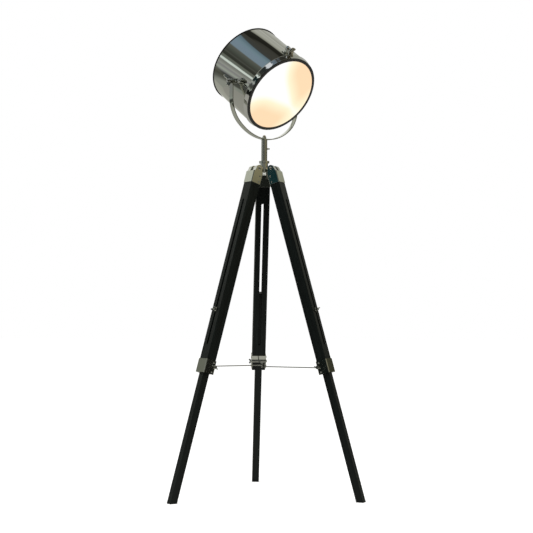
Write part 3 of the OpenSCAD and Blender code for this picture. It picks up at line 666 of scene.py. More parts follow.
def combined(obj: Object, tool: Object, operation: str) -> Object:
    """Joins a second object to the first or cuts it out of it, and removes it.

    Args:
        obj: the first object.
        tool: the second object.
        operation: UNION or DIFFERENCE.

    Returns:
        The first object, baked.
    """
    boolean = obj.modifiers.new("combined", "BOOLEAN")
    boolean.object = tool
    boolean.operation = operation
    boolean.solver = "EXACT"
    baked(obj)
    bpy.data.objects.remove(tool)
    return obj


def softened(node: str, edge: float, steps: int = 2) -> Object:
    """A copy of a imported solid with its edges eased.

    Args:
        node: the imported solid's name.
        edge: width of the eased edge, in metres.
        steps: faces across an eased edge.

    Returns:
        The new object.
    """
    bm = bmesh.new()
    bm.from_mesh(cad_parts[node].data)
    bmesh.ops.remove_doubles(bm, verts=bm.verts, dist=MERGED)
    bmesh.ops.dissolve_limit(bm, angle_limit=math.radians(ONE_FACE), verts=bm.verts,
                             edges=bm.edges)
    obj = bevelled(as_object(node + "_finished", bm), edge, steps, angle=32.0)
    smooth(obj, angle=38.0)
    # Flat faces stay flat to the eye: their normals win over those of the narrow bevels
    even = obj.modifiers.new("even", "WEIGHTED_NORMAL")
    even.mode = "FACE_AREA"
    even.weight = 100
    even.keep_sharp = True
    return baked(obj)


def finish_piece(obj: Object, body: str, material: Material,
                 nodes: Sequence[str]) -> None:
    """Gives a piece its material, its body and the solids it stands for.

    Args:
        obj: the piece.
        body: the body that carries it.
        material: its material.
        nodes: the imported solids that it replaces.
    """
    obj.data.materials.clear()
    obj.data.materials.append(material)
    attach(obj, body)
    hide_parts(*nodes)
    LOG.info("%s rides on %s, %d faces", obj.name, body, len(obj.data.polygons))


@dataclass(frozen=True)
class Eased:
    """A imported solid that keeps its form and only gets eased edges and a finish."""

    node: str
    edge: float
    body: str
    slot: str
    finish: Finish


def dress(solids: Sequence[Eased], look: Palette, suffix: str = "") -> None:
    """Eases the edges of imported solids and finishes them.

    Args:
        solids: the solids.
        look: the sub-assembly's finishes.
        suffix: what ends the names of their nodes and bodies.
    """
    for solid in solids:
        node = solid.node + suffix
        finish_piece(softened(node, solid.edge), solid.body + suffix,
                     look[solid.finish], [node])


# ------------------------------------------------------------------ geometry trees


def group_tree(name: str, sockets: Sequence[tuple[str, str, Any]]) -> Tree:
    """An empty geometry tree with a geometry input and output.

    Args:
        name: the tree's name.
        sockets: name, socket type and default of each further input.

    Returns:
        The tree.
    """
    tree = bpy.data.node_groups.new(name, "GeometryNodeTree")
    for way in ("INPUT", "OUTPUT"):
        tree.interface.new_socket("Geometry", in_out=way, socket_type="NodeSocketGeometry")
    for label, kind, default in sockets:
        socket = tree.interface.new_socket(label, in_out="INPUT", socket_type=kind)
        if default is not None:
            socket.default_value = default
    return tree


def grow(name: str, mesh: bpy.types.Mesh, tree: Tree, values: dict[str, Any]) -> Object:
    """Runs a geometry tree on a mesh and keeps the result as a plain mesh.

    Args:
        name: the new object's name.
        mesh: the points or the path.
        tree: the geometry tree.
        values: input name to value.

    Returns:
        The new object.
    """
    obj = added(name, mesh)
    modifier = obj.modifiers.new("grown", "NODES")
    modifier.node_group = tree
    for item in tree.interface.items_tree:
        if item.in_out == "INPUT" and item.name in values:
            modifier[item.identifier] = values[item.name]
    return baked(obj)


def screw_tree() -> Tree:
    """Sets a screw head on each point, along its "out" vector and turned at random.

    Returns:
        The tree.
    """
    full_turn = 6.28
    tree = group_tree("screw_heads", [("Head", "NodeSocketObject", None),
                                      ("Finish", "NodeSocketMaterial", None),
                                      ("Seed", "NodeSocketInt", 7)])
    source = put(tree, "NodeGroupInput")
    out = put(tree, "GeometryNodeInputNamedAttribute", {"Name": "out"},
              data_type="FLOAT_VECTOR")
    spin = put(tree, "FunctionNodeRandomValue", {3: full_turn, "Seed": source.outputs["Seed"]},
               data_type="FLOAT")
    turn = put(tree, "FunctionNodeAxisAngleToRotation", {"Axis": (0.0, 0.0, 1.0),
                                                         "Angle": spin.outputs[1]})
    aim = put(tree, "FunctionNodeAlignRotationToVector",
              {"Rotation": turn.outputs["Rotation"], "Vector": out.outputs["Attribute"]},
              axis="Z", pivot_axis="AUTO")
    head = put(tree, "GeometryNodeObjectInfo", {"Object": source.outputs["Head"]})
    points = put(tree, "GeometryNodeInstanceOnPoints",
                 {"Points": source.outputs["Geometry"], "Instance": head.outputs["Geometry"],
                  "Rotation": aim.outputs["Rotation"]})
    real = put(tree, "GeometryNodeRealizeInstances", {0: points.outputs["Instances"]})
    done = put(tree, "GeometryNodeSetMaterial", {"Geometry": real.outputs["Geometry"],
                                                 "Material": source.outputs["Finish"]})
    put(tree, "NodeGroupOutput", {0: done.outputs["Geometry"]})
    return tree


def strap_tree() -> Tree:
    """Sweeps a flat bar with eased edges along a path.

    Returns:
        The tree.
    """
    tree = group_tree("bent_strap", [("Width", "NodeSocketFloat", 0.016),
                                     ("Thickness", "NodeSocketFloat", 0.003),
                                     ("Edge", "NodeSocketFloat", 0.0006),
                                     ("Finish", "NodeSocketMaterial", None)])
    source = put(tree, "NodeGroupInput")
    path = put(tree, "GeometryNodeMeshToCurve", {"Mesh": source.outputs["Geometry"]})
    bar = put(tree, "GeometryNodeCurvePrimitiveQuadrilateral",
              {"Width": source.outputs["Width"], "Height": source.outputs["Thickness"]})
    eased = put(tree, "GeometryNodeFilletCurve",
                {"Curve": bar.outputs["Curve"], "Radius": source.outputs["Edge"], "Count": 3},
                mode="POLY")
    swept = put(tree, "GeometryNodeCurveToMesh",
                {"Curve": path.outputs["Curve"], "Profile Curve": eased.outputs["Curve"],
                 "Fill Caps": True})
    real = put(tree, "GeometryNodeRealizeInstances", {0: swept.outputs["Mesh"]})
    done = put(tree, "GeometryNodeSetMaterial", {"Geometry": real.outputs["Geometry"],
                                                 "Material": source.outputs["Finish"]})
    put(tree, "NodeGroupOutput", {0: done.outputs["Geometry"]})
    return tree


# ------------------------------------------------------------------ screws and grips

# A domed screw head's outline, and its cross recess, as shares of the head's size
DOME = ((1.0, 0.0), (1.0, 0.18), (0.93, 0.45), (0.75, 0.74), (0.48, 0.92), (0.2, 0.99),
        (0.0, 1.0))
RECESS = (0.6, 0.13, 0.8)


@dataclass
class Screws:
    """Domed cross-head screws of one size, set on points."""

    diameter: float = 6 * MM
    height: float = 2 * MM
    tree: Tree = field(default_factory=screw_tree)

    def head(self) -> Object:
        """One head, standing on its origin.

        Returns:
            The head, for the screw tree to copy.
        """
        rows = [(self.diameter / 2 * r, self.height * z) for r, z in DOME]
        head = turned("screw_head_shape", [(0.0, 0.0)] + rows, Matrix(), closed=False,
                      segments=24)
        length, width, deep = RECESS
        size = (self.diameter * length, self.diameter * width, self.height * deep, 1.0)
        for angle in (0.0, 90.0):
            cut = bmesh.new()
            bmesh.ops.create_cube(cut, size=1.0)
            cut.transform(rotation(angle, "Z") @ Matrix.Translation((0.0, 0.0, self.height))
                          @ Matrix.Diagonal(size))
            combined(head, as_object("screw_cut", cut), "DIFFERENCE")
        smooth(head, angle=40.0)
        return head

    def place(self, name: str, spots: Sequence[tuple[Vector, Vector]],
              material: Material) -> Object:
        """Builds one mesh of screw heads.

        Args:
            name: the piece's name.
            spots: seat and outward direction of each head.
            material: their finish.

        Returns:
            The piece.
        """
        mesh = bpy.data.meshes.new(name)
        mesh.from_pydata([tuple(p) for p, _ in spots], [], [])
        out = mesh.attributes.new("out", "FLOAT_VECTOR", "POINT")
        for i, (_, direction) in enumerate(spots):
            out.data[i].vector = direction.normalized()
        head = self.head()
        obj = grow(name, mesh, self.tree, {"Head": head, "Finish": material})
        bpy.data.objects.remove(head)
        smooth(obj, angle=40.0)
        return obj


# One wing's outline, as shares of half the span and of the height
WING = ((0.78, 0.16), (1.0, 0.45), (1.0, 0.92), (0.82, 1.0), (0.5, 0.80))


@dataclass(frozen=True)
class WingGrip:
    """A cast wing grip on its screw, with z along the screw and x along the wings."""

    span: float
    height: float
    thick: float
    hub: float
    seat: float
    shank_r: float
    waist: float = 0.55
    cap: float = 1.5 * MM
    corner: float = 0.8 * MM
    edge: float = 1.1 * MM

    def outline(self) -> list[tuple[float, float]]:
        """The wings' outline, rounded by cutting its corners twice.

        Returns:
            Place along the wings and height of each point.
        """
        w, h, z = self.span / 2, self.height, self.seat
        half = [(self.hub * 0.5, z + 0.08 * h)] + [(w * x, z + y * h) for x, y in WING]
        half.append((self.hub * 0.4, z + self.waist * h))
        points = half + [(-x, y) for x, y in reversed(half)]
        for _ in range(2):
            points = [(a[0] * k + b[0] * (1 - k), a[1] * k + b[1] * (1 - k))
                      for a, b in zip(points, points[1:] + points[:1]) for k in (0.75, 0.25)]
        return points

    def build(self, name: str, frame: Matrix) -> Object:
        """Builds the grip and its screw as one closed mesh.

        Args:
            name: the piece's name.
            frame: the screw's frame.

        Returns:
            The piece.
        """
        bm = bmesh.new()
        ring = [bm.verts.new((x, -self.thick / 2, z)) for x, z in self.outline()]
        side = bmesh.ops.extrude_face_region(bm, geom=[bm.faces.new(ring)])
        bmesh.ops.translate(bm, vec=(0.0, self.thick, 0.0),
                            verts=[v for v in side["geom"] if isinstance(v, bmesh.types.BMVert)])
        bmesh.ops.recalc_face_normals(bm, faces=bm.faces)
        top = self.seat + self.waist * self.height + self.cap
        hub = soften([(0.0, 0.0), (self.shank_r, 0.0), (self.shank_r, self.seat),
                      (self.hub, self.seat), (self.hub * 0.8, top), (0.0, top)], self.corner)
        wings = combined(as_object(name, bm), turned(name + "_hub", hub, Matrix(),
                                                     closed=False, segments=48), "UNION")
        bevelled(wings, self.edge, steps=3, angle=50.0)
        wings.data.transform(frame)
        smooth(wings, angle=45.0)
        return wings


# ------------------------------------------------------------------ sub-assemblies


@dataclass
class Stand:
    """Cast hub, its hinge pins, the short pole and the screw that locks the pan."""

    solids: tuple[Eased, ...] = (
        Eased("hub_casting", 0.7 * MM, "stand", "polished_fittings", CAST_POLISH),
        Eased("hinge_pins", 0.3 * MM, "stand", "screw_chrome", SCREW_CHROME),
        Eased("pole_tube", 0.5 * MM, "stand", "pole_chrome", POLE_CHROME),
        Eased("pan_lock_screw", 0.35 * MM, "pan_lock", "screw_chrome", SCREW_CHROME))

    def build(self) -> None:
        """Builds and dresses the stand's pieces."""
        dress(self.solids, Palette(LAYOUT.base()))


@dataclass
class Yoke:
    """U-shaped strap, its spigot and the domed nut that clamps it."""

    half: float = 151.5 * MM
    drop: float = 170.0 * MM
    corner: float = 100.0 * MM
    bottom_angle: float = 40.0
    width: float = 16.0 * MM
    thick: float = 3.0 * MM
    edge: float = 0.6 * MM
    tip_rows: int = 8
    corner_rows: int = 24
    bottom_rows: int = 48
    solids: tuple[Eased, ...] = (
        Eased("yoke_spigot", 0.4 * MM, "yoke", "yoke_chrome", YOKE_CHROME),
        Eased("acorn_nut", 0.5 * MM, "yoke", "yoke_chrome", YOKE_CHROME),
        Eased("pivot_washers", 0.2 * MM, "yoke", "washer_steel", STEEL_ROD))

    def path(self) -> list[Vector]:
        """The strap's middle line, from the left tip to the right one.

        Each arm runs down to a corner arc, and a wide arc between the corners is the bottom.

        Returns:
            The line's points in the yoke's frame.
        """
        a = math.radians(self.bottom_angle)
        big = self.corner + (self.half - self.corner) / math.sin(a)
        low = big - self.drop
        cy = (big - self.corner) * math.sin(a)
        cz = low - (big - self.corner) * math.cos(a)
        rise = [self.width / 2 * math.cos(math.pi / 2 * i / self.tip_rows)
                for i in range(self.tip_rows)]
        points = [(-self.half, z) for z in rise] + [(-self.half, 0.0), (-self.half, cz / 2)]
        for y, z, r, start, stop, count in (
                (-cy, cz, self.corner, 180.0, 270.0 - self.bottom_angle, self.corner_rows),
                (0.0, low, big, 270.0 - self.bottom_angle, 270.0 + self.bottom_angle,
                 self.bottom_rows),
                (cy, cz, self.corner, 270.0 + self.bottom_angle, 360.0, self.corner_rows)):
            for i in range(count + 1):
                t = math.radians(start + (stop - start) * i / count)
                p = (y + r * math.cos(t), z + r * math.sin(t))
                if math.dist(p, points[-1]) > MERGED / 2:
                    points.append(p)
        points += [(self.half, cz / 2), (self.half, 0.0)]
        points += [(self.half, z) for z in reversed(rise)]
        return [Vector((0.0, y, z)) for y, z in points]

    def strap(self, material: Material) -> Object:
        """Builds the strap with a geometry tree, then rounds its two tips.

        Args:
            material: its finish.

        Returns:
            The piece.
        """
        mesh = bpy.data.meshes.new("yoke_strap")
        points = self.path()
        mesh.from_pydata([tuple(p) for p in points],
                         [(i, i + 1) for i in range(len(points) - 1)], [])
        obj = grow("yoke_strap", mesh, strap_tree(),
                   {"Width": self.width, "Thickness": self.thick, "Edge": self.edge,
                    "Finish": material})
        tip = self.width / 2
        for v in obj.data.vertices:
            if v.co.z > 0.0:
                v.co.x *= math.sqrt(max(0.0, 1.0 - (v.co.z / tip) ** 2))
        obj.data.transform(LAYOUT.yoke())
        bm = bmesh.new()
        bm.from_mesh(obj.data)
        bmesh.ops.remove_doubles(bm, verts=bm.verts, dist=MERGED / 2)
        bmesh.ops.recalc_face_normals(bm, faces=bm.faces)
        bm.to_mesh(obj.data)
        bm.free()
        smooth(obj, angle=40.0)
        return obj

    def build(self) -> None:
        """Builds and dresses the strap, spigot, nut and washers."""
        look = Palette(LAYOUT.yoke())
        chrome = look[YOKE_CHROME]
        finish_piece(self.strap(chrome), "yoke", chrome, ["yoke"])
        dress(self.solids, look)


@dataclass
class Drum:
    """Sheet drum with its rear cover, side brackets, lamp holder and bulb."""

    radius: float = 132.0 * MM
    wall: float = 1.2 * MM
    back: float = -119.3 * MM
    front: float = 69.2 * MM
    bead: float = 2.0 * MM
    bead_rows: int = 20
    screw_x: float = 26.2 * MM
    screw_y: float = 148.5 * MM
    screw_z: float = 17.5 * MM
    nut_edge: float = 0.9 * MM
    nut_turn: float = 90.0
    solids: tuple[Eased, ...] = (
        Eased("rear_cover", 0.6 * MM, "head", "drum_chrome", DRUM_CHROME),
        Eased("side_brackets", 0.6 * MM, "head", "yoke_chrome", YOKE_CHROME),
        Eased("pivot_bolts", 0.4 * MM, "head", "screw_chrome", SCREW_CHROME),
        Eased("rear_cover_screws", 0.3 * MM, "head", "screw_chrome", SCREW_CHROME),
        Eased("cable_gland", 0.5 * MM, "head", "gland_plastic", GLAND_PLASTIC),
        Eased("lamp_holder_bracket", 0.4 * MM, "head", "washer_steel", STEEL_ROD),
        Eased("lamp_holder", 0.8 * MM, "head", "holder_ceramic", PORCELAIN),
        Eased("bulb", 0.4 * MM, "head", "bulb_glass", OPAL_BULB),
        Eased("clamp_lug", 0.8 * MM, "head", "bezel_chrome", BEZEL_CHROME))

    def shell(self) -> Object:
        """The rolled sheet.

        Returns:
            The piece.
        """
        inner = self.radius - self.wall
        profile = [(inner, self.back), (self.radius, self.back), (self.radius, self.front),
                   (inner, self.front)]
        return turned("drum_sheet", soften(profile, self.wall / 3), LAYOUT.drum())

    def rolled_edge(self) -> Object:
        """The black rolled edge round the back.

        Returns:
            The piece.
        """
        angles = [2 * math.pi * i / self.bead_rows for i in range(self.bead_rows)]
        profile = [(self.radius + self.bead * math.cos(a), self.back + self.bead * math.sin(a))
                   for a in angles]
        return turned("back_rolled_edge", profile, LAYOUT.drum())

    def bracket_screws(self) -> list[tuple[Vector, Vector]]:
        """Seat and direction of the screws along each bracket's sloping arm.

        Returns:
            The spots, two on each side.
        """
        head = LAYOUT.head()
        return [(head @ Vector((self.screw_x * at, s * self.screw_y, self.screw_z * at)),
                 head.to_3x3() @ Vector((0.0, s, 0.0)))
                for s in (-1.0, 1.0) for at in (0.5, 1.0)]

    def build(self, screws: Screws) -> None:
        """Builds and dresses the drum and all that it carries.

        Args:
            screws: the screw maker.
        """
        look = Palette(LAYOUT.drum())
        bright = look[SCREW_CHROME]
        finish_piece(self.shell(), "head", look[DRUM_CHROME], ["drum_shell"])
        finish_piece(self.rolled_edge(), "head", look[BLACK_ENAMEL],
                     ["back_bead_ring"])
        dress(self.solids, look)
        # The wing nuts turn freely, and the real ones stand a quarter turn on
        axis = LAYOUT.head() @ rotation(90.0, "X")
        for word in ("left", "right"):
            node = "pivot_wing_nut_" + word
            nut = softened(node, self.nut_edge, steps=3)
            nut.data.transform(axis @ rotation(self.nut_turn, "Z") @ axis.inverted())
            finish_piece(nut, "pivot_nut_" + word, bright, [node])
        finish_piece(screws.place("bracket_screw_heads", self.bracket_screws(), bright),
                     "head", bright, ["bracket_screws"])


@dataclass
class Bezel:
    """Spun front ring with the black rim, the frosted lens and the clamp's wing screw."""

    in_r: float = 132.3 * MM
    back_r: float = 135.0 * MM
    front_r: float = 131.4 * MM
    back: float = 59.2 * MM
    seat: float = 70.2 * MM
    front: float = 81.2 * MM
    lip: float = 3.0 * MM
    edge_flat: float = 0.8 * MM
    edge_slope: float = 3.4 * MM
    edge_roll: tuple[float, float] = (-0.3 * MM, 4.6 * MM)
    belly: tuple[float, float] = (1.45 * MM, 12.0 * MM)
    corner: float = 0.5 * MM
    rim_out: float = 128.8 * MM
    rim_in: float = 121.5 * MM
    flange_r: float = 124.5 * MM
    ledge: float = 3.0 * MM
    lens_r: float = 121.2 * MM
    crown: float = 5.0 * MM
    glass: float = 4.0 * MM
    glass_foot: float = 5.0 * MM
    foot_drop: float = 3.5 * MM
    play: float = 0.3 * MM
    lens_rows: int = 28
    clamp_angle: float = 104.0
    clamp_r: float = 150.0 * MM
    clamp_z: float = 44.5 * MM
    grip_turn: float = 10.0
    grip: WingGrip = WingGrip(span=30 * MM, height=19 * MM, thick=4.5 * MM, hub=6.2 * MM,
                              seat=17.2 * MM, shank_r=2.3 * MM)
    solids: tuple[Eased, ...] = (
        Eased("bezel_lug", 0.8 * MM, "bezel", "bezel_chrome", BEZEL_CHROME),)

    def ring(self) -> Object:
        """The chromed ring, with a sloping back edge and a bellied taper.

        Returns:
            The piece.
        """
        edge = self.front - self.lip
        profile = [(self.in_r, self.back), (self.in_r + self.edge_flat, self.back),
                   (self.back_r, self.back + self.edge_slope),
                   (self.back_r + self.edge_roll[0], self.back + self.edge_roll[1]),
                   (self.front_r + self.belly[0], self.back + self.belly[1]),
                   (self.front_r, edge), (self.rim_out, edge), (self.rim_out, self.seat),
                   (self.in_r, self.seat)]
        return turned("bezel_band", soften(profile, self.corner), LAYOUT.drum())

    def rim(self) -> Object:
        """The black rim that holds the lens.

        Returns:
            The piece.
        """
        edge, ledge = self.front - self.lip, self.seat + self.ledge
        profile = [(self.rim_in, edge), (self.rim_in, self.front), (self.front_r, self.front),
                   (self.front_r, edge), (self.rim_out, edge), (self.rim_out, ledge),
                   (self.flange_r, ledge), (self.flange_r, edge)]
        return turned("lens_rim", soften(profile, self.corner), LAYOUT.drum())

    def pane(self) -> Object:
        """The crowned lens on its foot, as one closed shell.

        Returns:
            The piece.
        """
        big = (self.lens_r ** 2 + self.crown ** 2) / 2 / self.crown
        radii = [self.lens_r * i / self.lens_rows for i in range(self.lens_rows + 1)]
        outer = [(r, self.front + self.crown - big + math.sqrt(big ** 2 - r ** 2))
                 for r in radii]
        rim = self.flange_r - self.play
        seat = self.front - self.lip - self.play
        under = seat - self.foot_drop
        foot = self.lens_r - self.glass_foot
        inner = [(r, z - self.glass) for r, z in reversed(outer) if r < foot]
        profile = outer + [(self.lens_r, seat), (rim, seat), (rim, under), (foot, under)]
        return turned("lens_pane", profile + inner, LAYOUT.drum(), closed=False)

    def build(self) -> None:
        """Builds and dresses the front of the head."""
        look = Palette(LAYOUT.drum())
        finish_piece(self.ring(), "bezel", look[BEZEL_CHROME], ["bezel_ring"])
        dress(self.solids, look)
        finish_piece(self.rim(), "bezel", look[BLACK_ENAMEL], ["black_rim"])
        finish_piece(self.pane(), "bezel", look[LENS_GLASS], ["lens"])
        angle = math.radians(self.clamp_angle)
        seat = (-self.clamp_r * math.sin(angle), self.clamp_r * math.cos(angle), self.clamp_z)
        screw = look.frame @ Matrix.Translation(seat) @ rotation(self.grip_turn, "Z")
        finish_piece(self.grip.build("clamp_wing_screw", screw), "bezel_screw",
                     GRIP_NICKEL.make(screw), ["bezel_wing_screw"])


@dataclass
class Leg:
    """One leg: slotted upper leg, sliding bar, socket, collar and their hardware."""

    side: Side
    screw_x: float = -9.0 * MM
    socket_half: float = 24.0 * MM
    collar_half: float = 25.0 * MM
    socket_rows: tuple[float, float] = (25.0 * MM, 44.0 * MM)
    collar_top: float = 641.0 * MM
    back_lift: float = 9.0 * MM
    collar_rows: tuple[float, float] = (7.0 * MM, 37.0 * MM)
    solids: tuple[Eased, ...] = (
        Eased("upper_leg_", 0.9 * MM, "leg_", "black_wood", WOOD),
        Eased("lower_leg_", 0.8 * MM, "bar_", "black_wood", WOOD),
        Eased("leg_socket_", 0.6 * MM, "leg_", "polished_fittings", CAST_POLISH),
        Eased("leg_collar_", 0.6 * MM, "leg_", "polished_fittings", CAST_POLISH),
        Eased("brace_bolt_", 0.3 * MM, "leg_", "screw_chrome", SCREW_CHROME),
        Eased("lock_screw_", 0.6 * MM, "lock_", "screw_chrome", SCREW_CHROME),
        Eased("brace_wing_nut_", 0.4 * MM, "brace_nut_", "screw_chrome", SCREW_CHROME),
        Eased("brace_rod_", 0.3 * MM, "rod_", "brace_steel", STEEL_ROD))

    def screw_spots(self) -> list[tuple[Vector, Vector]]:
        """Seat and direction of each domed screw on the socket and the collar.

        Returns:
            The spots, first those of the left cheek.
        """
        frame = LAYOUT.leg(self.side)
        top = self.collar_top - (self.back_lift if self.side is Side.BACK else 0.0)
        rows = [(z, self.socket_half) for z in self.socket_rows]
        rows += [(top + z, self.collar_half) for z in self.collar_rows]
        return [(frame @ Vector((self.screw_x, s * half, -z)),
                 frame.to_3x3() @ Vector((0.0, s, 0.0)))
                for s in (-1.0, 1.0) for z, half in rows]

    def build(self, screws: Screws) -> None:
        """Builds and dresses the leg.

        Args:
            screws: the screw maker.
        """
        word = self.side.word
        look = Palette(LAYOUT.leg(self.side))
        bright = look[SCREW_CHROME]
        dress(self.solids, look, suffix=word)
        finish_piece(screws.place("leg_screw_heads_" + word, self.screw_spots(), bright),
                     "leg_" + word, bright, ["leg_screws_" + word])


@dataclass
class Brace:
    """The boss in which the brace rods cross."""

    solids: tuple[Eased, ...] = (
        Eased("brace_boss", 0.4 * MM, "boss", "brace_steel", STEEL_ROD),)

    def build(self) -> None:
        """Builds and dresses the boss."""
        dress(self.solids, Palette(LAYOUT.base()))


# ------------------------------------------------------------------ the mirrored room


@dataclass(frozen=True)
class Wall:
    """One stretch of the mirrored room.

    It fades in between two bearings, which run from the far side towards the right, in
    degrees. Its bands are elevation and colour, from the floor up.
    """

    begins: tuple[float, float]
    bands: Bands


# The room that the real lamp's chrome shows: a dark doorway and a window at the left front, a
# tall window high on the left, pale walls behind, and a dark ceiling
CEILING = ((84.0, "#4a4a45"), (90.0, "#4a4a45"))
DARK_TOP = ((80.0, "#272722"),) + CEILING
SKIRTING = ((-31.0, "#7c7e76"), (-27.0, "#0d100e"), (-8.0, "#141816"), (-3.0, "#3c3e3a"),
            (3.0, "#85857b"))
FRONT = ((-90.0, "#8e8e86"), (-40.0, "#8e8e86")) + SKIRTING + (
    (14.0, "#8c8c82"), (24.0, "#6a6c66"), (50.0, "#5d6464"), (62.0, "#7a8a98"),
    (72.0, "#4a4a47"), (76.0, "#4a4a45"), (90.0, "#4a4a45"))
FRONT_WINDOW = ((-90.0, "#8e8e86"),) + SKIRTING + (
    (14.0, "#6c6c64"), (24.0, "#3a3c38"), (44.0, "#2d3434"), (46.0, "#eef4fa"),
    (61.0, "#f4f8ff"), (63.0, "#3a4048"), (76.0, "#4a4a45"), (90.0, "#4a4a45"))
DOORWAY = ((-90.0, "#8e8e86"), (-40.0, "#7e7e76"), (-27.0, "#0d100e"), (-6.0, "#141816"),
           (-2.0, "#36514f"), (5.0, "#133238"), (14.0, "#1c2c2c"), (19.0, "#1c2c2c"))
LEFT_LOW = ((-90.0, "#969890"), (-12.0, "#9a9c94"), (-5.5, "#989e96"), (-4.0, "#5a5c54"),
            (-1.0, "#4e504c"), (3.0, "#4c4e4c"), (4.5, "#8a8c8c"), (7.0, "#b6beb6"),
            (9.0, "#a8aba6"), (11.0, "#96969a"), (13.0, "#b0b3ae"), (16.0, "#9a9d98"),
            (19.0, "#8e908d"))
LEFT_HIGH = ((19.8, "#f4fffa"), (22.8, "#eefaf4"), (23.6, "#787e78"), (27.5, "#74796f"),
             (29.0, "#3e403a"), (33.0, "#42443e"), (35.0, "#5a5d57"), (37.0, "#4a4c46"),
             (42.0, "#565c55"), (49.5, "#6b6e68"), (51.0, "#8b9fb0"), (61.0, "#8ba0b3"),
             (67.0, "#869fae"), (74.0, "#6f8694"), (75.5, "#4a4d4c"), (90.0, "#4a4a45"))
LEFT_BACK = ((-90.0, "#969890"), (-5.5, "#a2a59d"), (-3.0, "#6c6e67"), (0.0, "#57584f"),
             (6.0, "#77796f"), (14.0, "#82857a"), (18.0, "#9a9d92"), (21.0, "#d1d4c7"),
             (40.0, "#c4c6ba"), (64.0, "#b9baae"), (68.0, "#8f9088"), (71.0, "#4a4a45"),
             (90.0, "#4a4a45"))
PALE_LOW = ((-90.0, "#9a9a94"), (-12.0, "#b0b1a8"), (-6.0, "#b4b5ab"))
BACK_WINDOW = PALE_LOW + (
    (4.0, "#b2b3aa"), (7.0, "#fafaf4"), (44.0, "#fafaf4"), (47.0, "#b8b9b0"),
    (66.0, "#b4b5ab"), (70.5, "#30302b")) + DARK_TOP
PALE_BACK = PALE_LOW + (
    (-3.0, "#b2b3aa"), (1.0, "#a6a79f"), (17.0, "#b4b5ad"), (30.0, "#bfc0b9"),
    (42.0, "#b8b9b0"), (44.5, "#acada5"), (47.0, "#b8b9b0"), (50.0, "#cecfc8"),
    (53.0, "#bcbdb5"), (62.0, "#c5c6be"), (66.0, "#b4b5ab"), (69.0, "#a3a499"),
    (70.5, "#30302b")) + DARK_TOP
RIGHT_BACK = ((-90.0, "#8a8a82"), (-6.0, "#5c5d54"), (0.0, "#3c3c30"), (10.0, "#4b4b3c"),
              (14.0, "#85867a"), (18.0, "#b5b6a3"), (45.0, "#b0b1a6"), (64.0, "#a2a398"),
              (68.0, "#30302b")) + DARK_TOP
WARM_RIGHT = ((-90.0, "#5a5a52"), (-20.0, "#2c2c28"), (-6.0, "#1f1f1c"), (0.0, "#262521"),
              (4.0, "#8c866a"), (8.0, "#a9a282"), (20.0, "#8c866a"), (34.0, "#5a5848"),
              (60.0, "#6a6a62"), (72.0, "#30302b")) + CEILING
DARK_POST = ((-90.0, "#8e8e86"), (-27.0, "#0d100e"), (30.0, "#1d1f1c"), (90.0, "#4a4a45"))
# From the middle of the front round by the left, the back and the right
WALLS = (Wall((-172.0, -170.0), FRONT_WINDOW), Wall((-142.0, -139.0), DOORWAY + LEFT_HIGH),
         Wall((-127.0, -124.0), LEFT_LOW + LEFT_HIGH), Wall((-76.0, -70.0), LEFT_BACK),
         Wall((-48.0, -42.0), BACK_WINDOW), Wall((-4.0, 0.0), PALE_BACK),
         Wall((34.0, 42.0), RIGHT_BACK), Wall((84.0, 100.0), WARM_RIGHT),
         Wall((138.0, 146.0), FRONT), Wall((158.0, 160.0), DARK_POST),
         Wall((165.0, 167.0), FRONT))


# ------------------------------------------------------------------ studio


